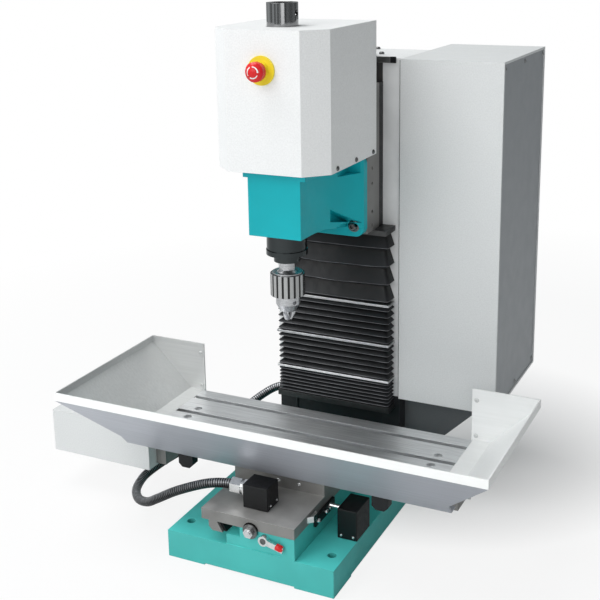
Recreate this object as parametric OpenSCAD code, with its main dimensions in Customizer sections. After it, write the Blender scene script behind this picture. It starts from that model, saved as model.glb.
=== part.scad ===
// Small bench milling machine with three motor-driven axes.
// Millimetres. Z is up, X runs to the right along the table, Y runs back to the column.
// The origin is the centre of the four base bolts, on the plane that the feet stand on.

/* [Base] */
// Width of the base casting
base_w = 228; // [200:1:260]
// Length of the base casting, front to back
base_l = 400; // [390:1:440]
// Height of the shelf round the bed
base_h = 36; // [30:1:44]
// Height of the dovetail bed above the shelf
bed_h = 28; // [26:1:32]
// Half width of the bed's dovetail at its top
bed_half = 38; // [34:1:41]
// Diameter of the holes for the base bolts
bolt_d = 11; // [8:0.5:13]

/* [Saddle] */
// Width of the saddle slab
slab_w = 127; // [121:1:132]
// Thickness of the saddle slab
slab_t = 14; // [13:0.5:18]
// Length of the saddle, front to back
saddle_l = 208; // [204:1:214]
// Depth of the raised block that carries the table
xblock_d = 122; // [112:1:126]
// Height of the raised block above the slab
xblock_h = 24; // [22:0.5:28]

/* [Table] */
// Length of the table
table_l = 400; // [380:1:430]
// Depth of the table
table_d = 144; // [136:1:152]
// Thickness of the table plate
table_t = 22.6; // [20:0.2:28]
// Distance of the table's middle from the machine's middle, as it stands
table_x = 12; // [0:1:20]
// Spacing of the T-slots
slot_pitch = 47; // [42:0.5:50]
// Width of the T-slot neck
slot_neck = 8; // [6:0.5:10]

/* [Chip tray] */
// Reach of the rim past each end of the table
tray_end_reach = 85.5; // [75:0.5:95]
// Height of the rim above the table's top
tray_h = 70; // [55:1:85]
// Reach of the front rim before the table
tray_front_reach = 80; // [70:1:88]
// Thickness of the tray's sheet
tray_t = 1.6; // [1.2:0.1:2.4]

/* [Column] */
// Width of the column casting
column_w = 178; // [170:1:186]
// Depth of the column casting
column_d = 104; // [96:1:110]
// Height of the column casting above the bed
column_h = 538; // [530:1:560]
// Distance of the column's front from the base's front
column_y = 278; // [274:1:284]
// Half width of the Z dovetail at its front
way_half = 48; // [44:1:51]

/* [Head] */
// Width of the head cover
cover_w = 149; // [142:1:158]
// Height of the head cover
cover_h = 167; // [150:1:180]
// Distance of the spindle's axis from the base's front
spindle_y = 122; // [118:1:127]
// Height of the underside of the head cover above the floor
head_z = 488; // [470:1:510]
// Diameter of the emergency stop's mushroom
estop_d = 23; // [20:0.5:28]

/* [Spindle and chuck] */
// Diameter of the spindle nose
nose_d = 50; // [46:1:54]
// Diameter of the chuck's fluted sleeve
sleeve_d = 43; // [41:0.5:46]
// Length of the chuck's fluted sleeve
sleeve_l = 28; // [24:0.5:30]
// Number of flutes on the sleeve
flutes = 18; // [14:1:22]
// Diameter of a chuck jaw
jaw_d = 7; // [6:0.1:7.4]

/* [Cabinet] */
// Width of the control cabinet
cabinet_w = 135; // [120:1:150]
// Depth of the control cabinet
cabinet_d = 205; // [180:1:220]
// Height of the control cabinet
cabinet_h = 463; // [440:1:480]

/* [Screws and motors] */
// Diameter of the feed screws
screw_d = 12; // [10:0.5:13]
// Side of the square feed motors
motor_w = 52; // [44:1:54]

/* [Hidden] */
$fn = 64;

// Colours
teal = "#2bb3ae";
iron = "#85878b";
ground_steel = "#b9bcc0";
white_sheet = "#ececec";
silver_sheet = "#b4b8bb";
dark_sheet = "#4a4d50";
black = "#1d1e20";
bright = "#d8dadc";
red = "#c3201c";
yellow = "#f2c11a";

// Clearances
slide_gap = 0.2;
run_gap = 0.3;
fit_gap = 0.05;
over = 1;
screw_room = 2;
screw_play = 0.5;
bearing_room = 1;
nut_play = 1;
shaft_room = 1;
tube_room = 1;
slant_angle = 30;
slant = tan(slant_angle);

// Base details
foot_h = 2;
foot_l = 52;
deck_t = 13;
base_wall = 26;
bolt_inset_x = 16;
bolt_inset_y = 31;
dove_h = 14;
lug_x = -11;
lug_d = 22;
wall_t = 10;
face_step = 1.2;
face_rise = 1.5;
face_x = 44;
wall_l = 228;
y_screw_x = 5;
y_screw_drop = 1;
nut_d = 20;
nut_l = 26;
nut_room = 3;
channel_w = nut_d + 2 * nut_room;
back_end = max(base_l, column_y + column_d);
bearing_d = 19;
bearing_l = 20;
bearing_proud = 3;

// Heights of the stacked slides
bed_top = base_h + bed_h;
slab_z = bed_top + slide_gap;
slab_top = slab_z + slab_t;
xblock_top = slab_top + xblock_h;
table_z = xblock_top + slide_gap;
table_top = table_z + table_t;
y_axis_z = bed_top - y_screw_drop;
bed_root = bed_half - dove_h * slant;

// Saddle details
leg_w = 15.6;
leg_h = 13;
leg_chamfer = 5;
gib_t = 3;
saddle_y = 0;
table_mid_y = saddle_y + saddle_l - xblock_d / 2;
xdove_h = 15;
xdove_half = 36;
x_axis_rise = 8;
x_axis_z = slab_top + x_axis_rise;
x_nut_x = -45;
switch_w = 34;
switch_d = 30;
switch_h = 31;
switch_y = 22;
gland_y = switch_y + switch_d / 2;
gland_rise = 19;
gland_z = slab_top + gland_rise;
gland_hex = 21;
gland_l = 14;
gland_nut_l = 4;
conduit_d = 12;

// Table details
slot_w = 14;
slot_h = 6;
slot_neck_h = 6.5;
hole_d = 6;
hole_sink_d = 11;
hole_sink_h = 5;
hole_inset = 26;
hole_offset = 14;
table_x0 = table_x - table_l / 2;
table_x1 = table_x + table_l / 2;
table_y0 = table_mid_y - table_d / 2;
table_y1 = table_mid_y + table_d / 2;

// Chip tray details
tray_l = table_l + 2 * tray_end_reach;
tray_floor_w = 24.4;
rim_h = 11;
apron_drop = 16.5;
apron_gap = 14;
tray_back_inset = 4;
back_panel_w = 87.5;
rim_z = table_top + tray_h;
apron_y = table_y0 - tray_front_reach;
apron_foot_y = table_y0 - apron_gap;
apron_foot_z = table_top - apron_drop;
tray_fold = table_l / 2 + tray_floor_w;
tray_back_y = table_y1 + tray_back_inset;
tray_step = 2;
tray_floor_z = table_top - tray_step;
tray_screw_d = 6;
tray_screw_h = 1.5;
tray_screw_inset = 6;
tray_screw_share = 0.7;

// X drive details
block_t = 15.5;
block_w = 66;
block_below = 30;
end_block_t = 13;
end_block_w = 50;
end_block_below = 9;
motor_l = 76;
motor_face_t = 8;
shaft_d = 8;
xcover_l = 159;
xcover_w = 102;
xcover_h = 61;
xcover_t = 1.6;
xcover_below = 33;
xdog_x = 135;
xdog_w = 21;
xdog_drop = 12;
xdog_ramp = 5;

// Column details
column_wall = 14;
way_depth = 16;
zchan_half = 15;
sheet_t = 2;
cover_gap = 0.5;
strip_w = 26;
column_top = bed_top + column_h;
way_front = column_y - way_depth;
z_axis_depth = 11;
z_axis_y = way_front + z_axis_depth;
z_motor_l = 40;
way_rise = 70;
way_z = bed_top + way_rise;

// Head details
cover_front = 66.5;
cover_back = 231;
cover_chamfer = 26;
cover_t = 1.8;
block_half = 35;
block_front = 90;
block_drop = 83;
flange_half = 66;
flange_front = 210;
flange_t = 11;
flange_drop = 106;
lip_w = 6.5;
lip_h = 11;
seat_h = 9;
slide_front = flange_front + flange_t;
slide_drop = 104;
slide_h = 190;
flange_r = 12;
flank_y = 112;
flank_step = flange_half - block_half;
flank_reach = flange_front - flank_y;
flank_r = (flank_step * flank_step + flank_reach * flank_reach) / (2 * flank_step);
nose_room = 2;
lip_l = 68;
pocket_y = 160;
pocket_x = 36.5;
pocket_drops = [60, 76, 86];
pocket_tip = 2;
notch_x = 46;
notch_l = 34;
notch_drop = 21;
notch_wall = 4;
half_chamfer_angle = 22.5;
head_button_d = 6;
head_button_h = 2;
head_button_shares = [0.26, 0.6, 0.93];
head_bolt_d = 12;
head_bolt_h = 6;
head_washer_d = 16;
head_washer_h = 1.6;
head_bolt_inset = 14;
bolt_room = 1.5;
gib_hole_d = 5;
gib_hole_depth = 10;
gib_hole_y = 238;
gib_hole_rises = [8, 26, 63, 83];
z_nut_rise = 86;
motor_y = 183;
spindle_motor_d = 68;
spindle_motor_h = 104;
shaft_r = 15;
bearing_r = 26;
bearing_h = 15;
tube_d = 37.7;
tube_top = 27.5;
pulley_h = 14;
spindle_pulley_r = 30;
motor_pulley_r = 17;
belt_t = 2;
belt_w = 10;
motor_shaft_d = 10;
motor_shaft_hold = 12;
tube_bore_d = 26;
tube_hole_d = 8;
tube_hole_drop = 12;
pulley_rise = 126;
pulley_z = head_z + pulley_rise;

// Chuck details, measured down from the head cover's underside
nose_reach = 27;
nose_lip = 0.8;
nose_lip_h = 6;
nose_groove = 1.6;
nose_bottom = head_z - block_drop - nose_reach;
adapter_d = 33;
adapter_h = 9.5;
chuck_top = nose_bottom - adapter_h;
body_r = 15;
core_r = 17.2;
chuck_neck_h = 15.5;
neck_r = 10;
neck_flare = 3;
sleeve_top = chuck_top - chuck_neck_h;
sleeve_z = sleeve_top - sleeve_l;
snout_h = 21;
body_z = sleeve_z - snout_h;
jaw_reach = 12;
tip_z = body_z - jaw_reach;
jaw_tilt = 10;
jaw_tip_r = 4.4;
jaw_hold = 10;
jaw_top = sleeve_z + jaw_hold;
flute_d = 2.2;
flute_margin = 1.2;
flute_out = 0.1;
snout_taper = 5;
snout_taper_h = 9;
cap_r = 19;
cap_h = 1.5;
jaw_gap = 0.2;
jaw_play = 1;
jaw_half_angle = 60;
jaw_travel = 5;
jaw_turn = 30;
jaw_cone_r = 4.6;
jaw_cone_top_r = 10.5;
key_hole_d = 5;
key_hole_rise = 13;
key_hole_turn = 60;

// Emergency stop details
estop_rise = 121;
estop_disc_d = 34;
estop_disc_t = 2.5;
estop_collar_d = 20;
estop_collar_h = 4;
estop_neck_d = 16;
estop_depth = 20;
estop_stem_d = 9;
estop_stem_hold = 8;
estop_stem_back = 14;
estop_travel = 4;
estop_play = 1;
estop_knob_h = 12;
estop_dome_r = 15;

// Lock lever and limit switches
lever_x = 24;
lever_drop = 8;
lever_z = bed_top - lever_drop;
lever_pin_d = 7;
lever_hub_d = 13;
lever_hub_l = 7;
lever_arm = 27;
lever_arm_w = 7;
lever_arm_t = 4;
lever_tilt = 14;
yswitch_w = 26;
yswitch_x = base_w / 2 - yswitch_w;
yswitch_y = 70;
yswitch_l = 42;
yswitch_h = 40;
yplunger_y = 82;
yplunger_z = slab_z + slab_t / 2;
plunger_d = 6;
plunger_tip_d = plunger_d;
plunger_depth = 10;
dog_y = 36;
dog_l = 22;
dog_h = 8;
dog_t = 6;
dog_gap = 1.5;
plunger_reach = yswitch_x - slab_w / 2 - dog_t - dog_gap;

// Cabinet details
cabinet_x = column_w / 2 + cover_gap + sheet_t + slide_gap;
cabinet_y = 269;
cabinet_z = 141;
cabinet_fold = 4;
cabinet_edge = 3;
panel_inset = 1.5;
screw_inset = 6;
button_d = 6;
vent_count = 9;
vent_pitch = 12;
vent_h = 4;
vent_share = 0.62;
vent_w_share = 0.6;
bracket_inset = 26;
bracket_h = 56;
bracket_t = 4;
drive_count = 3;
drive_inset = 22;
drive_pitch = 130;
drive_w = 84;
drive_d = 52;
drive_h = 110;
drive_fins = 8;
fin_gap = 4;

// Bellows details
bellows_half = 83;
bellows_front = 252.5;
bellows_back = column_y - cover_gap - sheet_t - run_gap;
bellows_z = 132;
fold_depth = 7;
fold_wall = 1.2;
strip_shares = [0, 0.152, 0.362, 0.593, 1];
fold_counts = [7, 6, 6, 4];
strip_h = 2.4;
strip_proud = 0.8;
plate_t = 8;
bracket_lip = 12;
bracket_drop = 7;
bellows_h = head_z - slide_drop - bracket_drop - bellows_z;

// Cable route: from the switch's gland round a hanging loop, back under the tray, up to the rear gland
rear_gland_y = 345;
rear_gland_z = 96;
conduit_sides = 10;
loop_front = [[-gland_nut_l, 0, 0], [-28, 0, 0], [-58, -4, -5], [-100, -6, -23], [-133, -3, -43],
    [-155, 5, -57],
    [-178, 18, -64], [-195, 38, -64], [-202, 63, -61], [-202, 83, -59]];
loop_back = [[-125, -195, -57], [-122, -165, -58], [-116, -135, -58], [-108, -105, -56], [-98, -75, -50],
    [-83, -45, -36], [-63, -20, -18], [-43, -5, -5], [-23, 0, 0], [-gland_nut_l, 0, 0]];

// Small pieces
motor_corner = 4;
motor_step = 3;
end_nut_d = 13;
end_nut_h = 5;
plunger_travel = 3;
xplunger_rise = 20;
xplunger_z = slab_top + xplunger_rise;
xdog_d = 13;
gland_neck_share = 0.82;
gib_inset = 4;
gib_screw_d = 6;
gib_screw_h = 2;
gib_screw_pitch = 29;
gib_screw_drop = 2;
y_reach_back = 92;

function fy(d) = d - base_l / 2;
function unit(v) = v / norm(v);

// A box between two corners
module block(lo, hi) {
    translate(lo)
        cube([hi[0] - lo[0], hi[1] - lo[1], hi[2] - lo[2]]);
}

// A profile in X and Z, drawn out along Y
module along_y(y0, y1) {
    translate([0, y1, 0])
        rotate([90, 0, 0])
            linear_extrude(y1 - y0)
                children();
}

// A profile in Y and Z, drawn out along X
module along_x(x0, x1) {
    translate([x0, 0, 0])
        rotate([90, 0, 90])
            linear_extrude(x1 - x0)
                children();
}

// Round bars along each axis
module rod_x(d, x0, x1, y, z) {
    translate([x0, y, z])
        rotate([0, 90, 0])
            cylinder(d = d, h = x1 - x0);
}

module rod_y(d, y0, y1, x, z) {
    translate([x, y1, z])
        rotate([90, 0, 0])
            cylinder(d = d, h = y1 - y0);
}

module rod_z(d, z0, z1, x, y) {
    translate([x, y, z0])
        cylinder(d = d, h = z1 - z0);
}

// A rectangle with true round corners
module round_rect(w, l, r) {
    square([w - 2 * r, l], center = true);
    square([w, l - 2 * r], center = true);
    for (x = [-1, 1], y = [-1, 1])
        translate([x * (w / 2 - r), y * (l / 2 - r)])
            circle(r);
}

// Base casting: shelf on four pads, dovetail bed, bearing lug, side wall and column plinth
module base_casting() {
    color(teal)
        difference() {
            union() {
                block([-base_w / 2, fy(0), foot_h], [base_w / 2, fy(base_l), base_h]);
                for (x = [-1, 1], y = [0, 1])
                    translate([x * (base_w - foot_l) / 2, fy(foot_l / 2 + y * (base_l - foot_l)),
                        foot_h / 2])
                        cube([foot_l, foot_l, foot_h], center = true);
                block([-bed_root, fy(0), base_h - over], [bed_root, fy(column_y) + over, bed_top - dove_h]);
                along_y(fy(lug_d) - over, fy(column_y) + over)
                    polygon([[-bed_root, base_h], [bed_root, base_h], [bed_root, bed_top - dove_h],
                        [bed_half, bed_top], [-bed_half, bed_top], [-bed_root, bed_top - dove_h]]);
                block([lug_x, fy(0), base_h - over], [slab_w / 2, fy(lug_d), bed_top]);
                block([slab_w / 2 - wall_t, fy(0), base_h - over], [slab_w / 2, fy(wall_l), bed_top]);
                block([-column_w / 2, fy(column_y), base_h - over],
                    [column_w / 2, fy(column_y + column_d), bed_top]);
            }
            block([base_wall - base_w / 2, fy(base_wall), -over],
                [base_w / 2 - base_wall, fy(base_l - base_wall), base_h - deck_t]);
            for (x = [-1, 1], y = [bolt_inset_y, base_l - bolt_inset_y])
                rod_z(bolt_d, -over, base_h + over, x * (base_w / 2 - bolt_inset_x), fy(y));
            block([y_screw_x - channel_w / 2, fy(lug_d), y_axis_z - channel_w / 2],
                [y_screw_x + channel_w / 2, fy(back_end) + over, bed_top + over]);
            rod_y(bearing_d + 2 * fit_gap, fy(0) - over, fy(lug_d) + over, y_screw_x, y_axis_z);
            motor_room();
            block([-bed_root - over, fy(0) - over, base_h + face_rise],
                [face_x, fy(face_step), bed_top + over]);
            rod_y(lever_pin_d + 2 * fit_gap, fy(0) - over, fy(lug_d) + over, lever_x, lever_z);
        }
}

// Room behind the plinth for the Y motor
module motor_room() {
    half = motor_w / 2 + run_gap;
    block([y_screw_x - half, fy(column_y + column_d), y_axis_z - half],
        [y_screw_x + half, fy(back_end) + over, bed_top + over]);
}

// Cast column: hollow box with the Z dovetail and its screw channel on the front
module column() {
    root = way_half - way_depth * slant;
    color(iron)
        difference() {
            union() {
                block([-column_w / 2, fy(column_y), bed_top], [column_w / 2, fy(column_y + column_d),
                    column_top]);
                translate([0, 0, way_z])
                    linear_extrude(column_top - way_z)
                        polygon([[-way_half, fy(way_front)], [way_half, fy(way_front)],
                            [root, fy(column_y)], [root, fy(column_y) + over],
                            [-root, fy(column_y) + over], [-root, fy(column_y)]]);
            }
            block([column_wall - column_w / 2, fy(column_y + column_wall), bed_top - over],
                [column_w / 2 - column_wall, fy(column_y + column_d - column_wall),
                    column_top - column_wall]);
            block([-zchan_half, fy(way_front) - over, way_z - over],
                [zchan_half, fy(z_axis_y + zchan_half - run_gap), column_top + over]);
            rod_y(screw_d + 2 * screw_room, fy(column_y) - over, fy(column_y + column_d) + over,
                y_screw_x, y_axis_z);
        }
}

// Sheet cover round the column: back, sides and the two front strips
module column_cover() {
    inner = column_w / 2 + cover_gap;
    outer = inner + sheet_t;
    y0 = column_y - cover_gap - sheet_t;
    y1 = column_y + column_d + cover_gap + sheet_t;
    half = motor_w / 2 + run_gap;
    color(silver_sheet)
        difference() {
            block([-outer, fy(y0), bed_top], [outer, fy(y1), column_top]);
            block([-inner, fy(y0 + sheet_t), bed_top - over], [inner, fy(y1 - sheet_t), column_top + over]);
            block([strip_w - outer, fy(y0) - over, bed_top - over],
                [outer - strip_w, fy(column_y), column_top + over]);
            block([y_screw_x - half, fy(column_y + column_d), bed_top - over],
                [y_screw_x + half, fy(y1) + over, y_axis_z + half]);
            rod_x(conduit_d, -outer - over, -inner + over, fy(rear_gland_y), rear_gland_z);
        }
}

// White lid on the column, raised over the Z motor
module column_top_cover() {
    outer = column_w / 2 + cover_gap + sheet_t;
    y0 = column_y - cover_gap - sheet_t;
    y1 = column_y + column_d + cover_gap + sheet_t;
    half = motor_w / 2 + cover_gap;
    hood_top = column_top + z_motor_l + cover_gap;
    color(white_sheet)
        difference() {
            union() {
                block([-outer, fy(y0), column_top], [outer, fy(y1), column_top + sheet_t]);
                block([-half - sheet_t, fy(z_axis_y - half - sheet_t), column_top],
                    [half + sheet_t, fy(z_axis_y + half + sheet_t), hood_top + sheet_t]);
            }
            block([-half, fy(z_axis_y - half), column_top - over], [half, fy(z_axis_y + half), hood_top]);
        }
}

// Folded sheet cabinet, open on the right for its side panel, with vent slots in the back
module cabinet_shell() {
    color(silver_sheet)
        difference() {
            block([cabinet_x, fy(cabinet_y), cabinet_z],
                [cabinet_x + cabinet_w, fy(cabinet_y + cabinet_d), cabinet_z + cabinet_h]);
            block([cabinet_x + sheet_t, fy(cabinet_y + sheet_t), cabinet_z + sheet_t],
                [cabinet_x + cabinet_w - cabinet_fold, fy(cabinet_y + cabinet_d - sheet_t),
                    cabinet_z + cabinet_h - sheet_t]);
            block([cabinet_x + sheet_t, fy(cabinet_y + cabinet_edge), cabinet_z + cabinet_edge],
                [cabinet_x + cabinet_w + over, fy(cabinet_y + cabinet_d - cabinet_edge),
                    cabinet_z + cabinet_h - cabinet_edge]);
            for (i = [0 : vent_count - 1])
                translate([cabinet_x + cabinet_w / 2, fy(cabinet_y + cabinet_d),
                    cabinet_z + cabinet_h * vent_share + i * vent_pitch])
                    cube([cabinet_w * vent_w_share, 4 * sheet_t, vent_h], center = true);
        }
}

// Dark panel that closes the cabinet's right side
module cabinet_side_panel() {
    x1 = cabinet_x + cabinet_w;
    inset = cabinet_edge + fit_gap;
    color(dark_sheet)
        block([x1 - cabinet_fold + fit_gap, fy(cabinet_y + inset), cabinet_z + inset],
            [x1 - panel_inset, fy(cabinet_y + cabinet_d - inset), cabinet_z + cabinet_h - inset]);
}

// Dark bracket that carries the cabinet on the column's foot
module cabinet_bracket() {
    y0 = cabinet_y + bracket_inset;
    y1 = column_y + column_d;
    x1 = cabinet_x + cabinet_w - bracket_inset;
    color(dark_sheet)
        difference() {
            block([cabinet_x, fy(y0), cabinet_z - bracket_h], [x1, fy(y1), cabinet_z]);
            block([cabinet_x - over, fy(y0 + bracket_t), cabinet_z - bracket_h - over],
                [x1 - bracket_t, fy(y1 - bracket_t), cabinet_z - bracket_t]);
            along_y(fy(y0) - over, fy(y1) + over)
                polygon([[x1 + over, cabinet_z - bracket_h - over],
                    [x1 + over, cabinet_z - bracket_t - over],
                    [cabinet_x + bracket_h, cabinet_z - bracket_h - over]]);
        }
}

// Button heads that hold the side panel
module cabinet_screws() {
    x = cabinet_x + cabinet_w - panel_inset;
    inset = cabinet_edge + screw_inset;
    color(bright)
        for (y = [inset, cabinet_d / 2, cabinet_d - inset], z = [inset, cabinet_h - inset])
            rod_x(button_d, x, x + panel_inset, fy(cabinet_y + y), cabinet_z + z);
}

// Three stepper drives on the cabinet's back wall
module motor_drives() {
    y1 = cabinet_y + cabinet_d - sheet_t;
    color(black)
        for (i = [0 : drive_count - 1])
            translate([cabinet_x + drive_inset, fy(y1 - drive_d),
                cabinet_z + drive_inset + i * drive_pitch])
                difference() {
                    cube([drive_w, drive_d, drive_h]);
                    for (k = [1 : drive_fins])
                        translate([k * drive_w / (drive_fins + 1), 0, drive_h / 2])
                            cube([fin_gap, 2 * fin_gap, drive_h + over], center = true);
                }
}

// Plan of the bellows at one level: a U that stands out by the given depth
function bellows_ring(z, out) = [
    [bellows_half - fold_depth + out, fy(bellows_back), z],
    [bellows_half - fold_depth + out, fy(bellows_front + fold_depth - out), z],
    [-(bellows_half - fold_depth + out), fy(bellows_front + fold_depth - out), z],
    [-(bellows_half - fold_depth + out), fy(bellows_back), z],
    [-(bellows_half - fold_depth + out - fold_wall), fy(bellows_back), z],
    [-(bellows_half - fold_depth + out - fold_wall), fy(bellows_front + fold_depth - out + fold_wall), z],
    [bellows_half - fold_depth + out - fold_wall, fy(bellows_front + fold_depth - out + fold_wall), z],
    [bellows_half - fold_depth + out - fold_wall, fy(bellows_back), z]];

// Levels of the folds: each stretch between two strips has its own number of folds
function fold_low(s) = bellows_z + bellows_h * strip_shares[s] + (s == 0 ? 0 : strip_h / 2);
function fold_high(s) = bellows_z + bellows_h * strip_shares[s + 1]
    - (s == len(fold_counts) - 1 ? 0 : strip_h / 2);
function fold_level(s, k) = fold_low(s) + (fold_high(s) - fold_low(s)) * k / (2 * fold_counts[s]);

// Black folded bellows, compressed towards its foot
module bellows() {
    rings = [for (s = [0 : len(fold_counts) - 1]) for (k = [0 : 2 * fold_counts[s]])
        bellows_ring(fold_level(s, k), k % 2 == 0 ? 0 : fold_depth)];
    n = len(rings[0]);
    last = len(rings) - 1;
    ends = [[0, 1, 6, 7], [1, 2, 5, 6], [2, 3, 4, 5]];
    color(black)
        polyhedron(
            points = [for (r = rings) each r],
            faces = concat(
                [for (q = ends) [q[3], q[2], q[1], q[0]]],
                [for (q = ends) [for (i = q) last * n + i]],
                [for (j = [0 : last - 1], i = [0 : n - 1])
                    [j * n + (i + 1) % n, (j + 1) * n + (i + 1) % n, (j + 1) * n + i, j * n + i]]));
}

// Bright strips that stiffen the bellows
module bellows_strips() {
    lip = bellows_half + strip_proud;
    inner = bellows_half - fold_depth + fit_gap;
    color(bright)
        for (s = [1 : len(strip_shares) - 2])
            translate([0, 0, bellows_z + bellows_h * strip_shares[s] - strip_h / 2 + fit_gap])
                linear_extrude(strip_h - 2 * fit_gap)
                    difference() {
                        translate([-lip, fy(bellows_front - strip_proud)])
                            square([2 * lip, bellows_back - bellows_front + strip_proud]);
                        translate([-inner, fy(bellows_front + fold_depth - fit_gap)])
                            square([2 * inner, bellows_back - bellows_front + over]);
                    }
}

// Black plates that hold the bellows' ends
module bellows_bottom_plate() {
    color(black) {
        block([-bellows_half - strip_proud, fy(bellows_front - strip_proud), bellows_z - plate_t],
            [bellows_half + strip_proud, fy(bellows_back), bellows_z]);
        block([-way_half, fy(bellows_back), bellows_z - plate_t], [way_half, fy(column_y), bellows_z]);
    }
}

module bellows_bracket() {
    half = bellows_half + strip_proud;
    top = head_z - slide_drop;
    color(black)
        difference() {
            block([-half, fy(bellows_front - bracket_lip), bellows_z + bellows_h],
                [half, fy(bellows_back), top]);
            block([-way_half - over, fy(way_front - run_gap), bellows_z + bellows_h - over],
                [way_half + over, fy(bellows_back) + over, top + over]);
        }
}

// A square feed motor, face at the origin, shaft end along +Z, body below
module motor_body(l) {
    color(black)
        difference() {
            union() {
                translate([0, 0, -motor_face_t])
                    linear_extrude(motor_face_t)
                        round_rect(motor_w, motor_w, motor_corner);
                translate([0, 0, motor_face_t - l])
                    linear_extrude(l - 2 * motor_face_t)
                        round_rect(motor_w - motor_step, motor_w - motor_step, 2 * motor_corner);
                translate([0, 0, -l])
                    linear_extrude(motor_face_t)
                        round_rect(motor_w, motor_w, motor_corner);
            }
            translate([0, 0, -motor_face_t])
                cylinder(d = screw_d + 2 * screw_play, h = motor_face_t + over);
        }
}

module feed_motors() {
    translate([y_screw_x, fy(column_y + column_d), y_axis_z])
        rotate([90, 0, 0])
            motor_body(motor_l);
    translate([0, fy(z_axis_y), column_top])
        rotate([180, 0, 0])
            motor_body(z_motor_l);
}

module x_motor() {
    translate([table_x0 - block_t, fy(table_mid_y), x_axis_z])
        rotate([0, 90, 0])
            motor_body(motor_l);
}

// Round bearing housing of the Y screw, seated in the lug
module y_front_bearing() {
    color(bright)
        difference() {
            rod_y(bearing_d, fy(-bearing_proud), fy(bearing_l), y_screw_x, y_axis_z);
            rod_y(shaft_d + 2 * fit_gap, fy(-bearing_proud) - over, fy(bearing_l) + over, y_screw_x,
                y_axis_z);
        }
}

// Y screw with a locked nut on its front journal
module y_screw() {
    nut_y = -bearing_proud - run_gap;
    color(ground_steel) {
        rod_y(shaft_d, fy(nut_y), fy(lug_d), y_screw_x, y_axis_z);
        rod_y(screw_d, fy(lug_d), fy(column_y + column_d + motor_face_t / 2), y_screw_x, y_axis_z);
        translate([y_screw_x, fy(nut_y), y_axis_z])
            rotate([90, 0, 0])
                cylinder(d = end_nut_d, h = end_nut_h, $fn = 6);
        rod_y(shaft_d, fy(nut_y - end_nut_h - fit_gap - shaft_d / 4), fy(nut_y), y_screw_x, y_axis_z);
    }
}

module z_screw() {
    color(ground_steel)
        rod_z(screw_d, way_z + run_gap, column_top + motor_face_t / 2, 0, fy(z_axis_y));
}

module x_screw() {
    color(ground_steel) {
        rod_x(shaft_d, table_x0 - block_t - motor_face_t / 2, table_x0 + run_gap, fy(table_mid_y),
            x_axis_z);
        rod_x(screw_d, table_x0 + run_gap, table_x1 - run_gap, fy(table_mid_y), x_axis_z);
        rod_x(shaft_d, table_x1 - run_gap, table_x1 + end_block_t + shaft_d, fy(table_mid_y), x_axis_z);
    }
}

// Lever that locks the Y slide, on a pin in the lug
module lock_lever() {
    color(iron)
        translate([lever_x, fy(face_step), lever_z]) {
            rotate([90, 0, 0])
                cylinder(d = lever_hub_d, h = lever_hub_l);
            rotate([-90, 0, 0])
                cylinder(d = lever_pin_d, h = lug_d - face_step - run_gap);
            rotate([90, lever_tilt, 0])
                translate([0, -lever_arm_w / 2, lever_hub_l - lever_arm_t])
                    cube([lever_arm, lever_arm_w, lever_arm_t]);
        }
}

// Switch body with a bore for its plunger
module y_limit_switch() {
    color(black)
        difference() {
            block([yswitch_x, fy(yswitch_y), base_h], [yswitch_x + yswitch_w,
                fy(yswitch_y + yswitch_l), base_h + yswitch_h]);
            rod_x(plunger_d + 2 * fit_gap, yswitch_x - over, yswitch_x + plunger_depth + plunger_travel,
                fy(yplunger_y), yplunger_z);
        }
}

module y_plunger() {
    color(bright) {
        rod_x(plunger_d, yswitch_x - plunger_reach + plunger_tip_d / 2, yswitch_x + plunger_depth - run_gap,
            fy(yplunger_y), yplunger_z);
        translate([yswitch_x - plunger_reach + plunger_tip_d / 2, fy(yplunger_y), yplunger_z])
            sphere(d = plunger_tip_d);
    }
}

module x_limit_switch() {
    color(black)
        difference() {
            block([-switch_w / 2, fy(saddle_y + switch_y), slab_top],
                [switch_w / 2, fy(saddle_y + switch_y + switch_d), slab_top + switch_h]);
            rod_y(plunger_d + 2 * fit_gap,
                fy(saddle_y + switch_y + switch_d - plunger_depth - plunger_travel),
                fy(saddle_y + switch_y + switch_d) + over, 0, xplunger_z);
        }
}

module x_plunger() {
    back = saddle_y + switch_y + switch_d;
    tip = table_y0 - xdog_d - run_gap - plunger_tip_d / 2;
    color(bright) {
        rod_y(plunger_d, fy(back - plunger_depth + run_gap), fy(tip), 0, xplunger_z);
        translate([0, fy(tip), xplunger_z])
            sphere(d = plunger_tip_d);
    }
}

// A hexagon cable gland on the X axis, mouth towards -X, foot at the given point
module gland(foot) {
    color(bright)
        translate(foot)
            rotate([0, -90, 0])
                difference() {
                    union() {
                        cylinder(d = gland_hex + 4 * run_gap, h = gland_nut_l, $fn = 6);
                        cylinder(d = gland_hex * gland_neck_share, h = 2 * gland_nut_l);
                        translate([0, 0, 2 * gland_nut_l])
                            cylinder(d = gland_hex, h = gland_l, $fn = 6);
                    }
                    translate([0, 0, gland_nut_l])
                        cylinder(d = conduit_d + 2 * run_gap, h = gland_l + 2 * gland_nut_l);
                }
}

module switch_gland() {
    gland([-switch_w / 2, fy(saddle_y + gland_y), gland_z]);
}

module cable_gland() {
    gland([-column_w / 2 - cover_gap - sheet_t, fy(rear_gland_y), rear_gland_z]);
}

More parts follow.
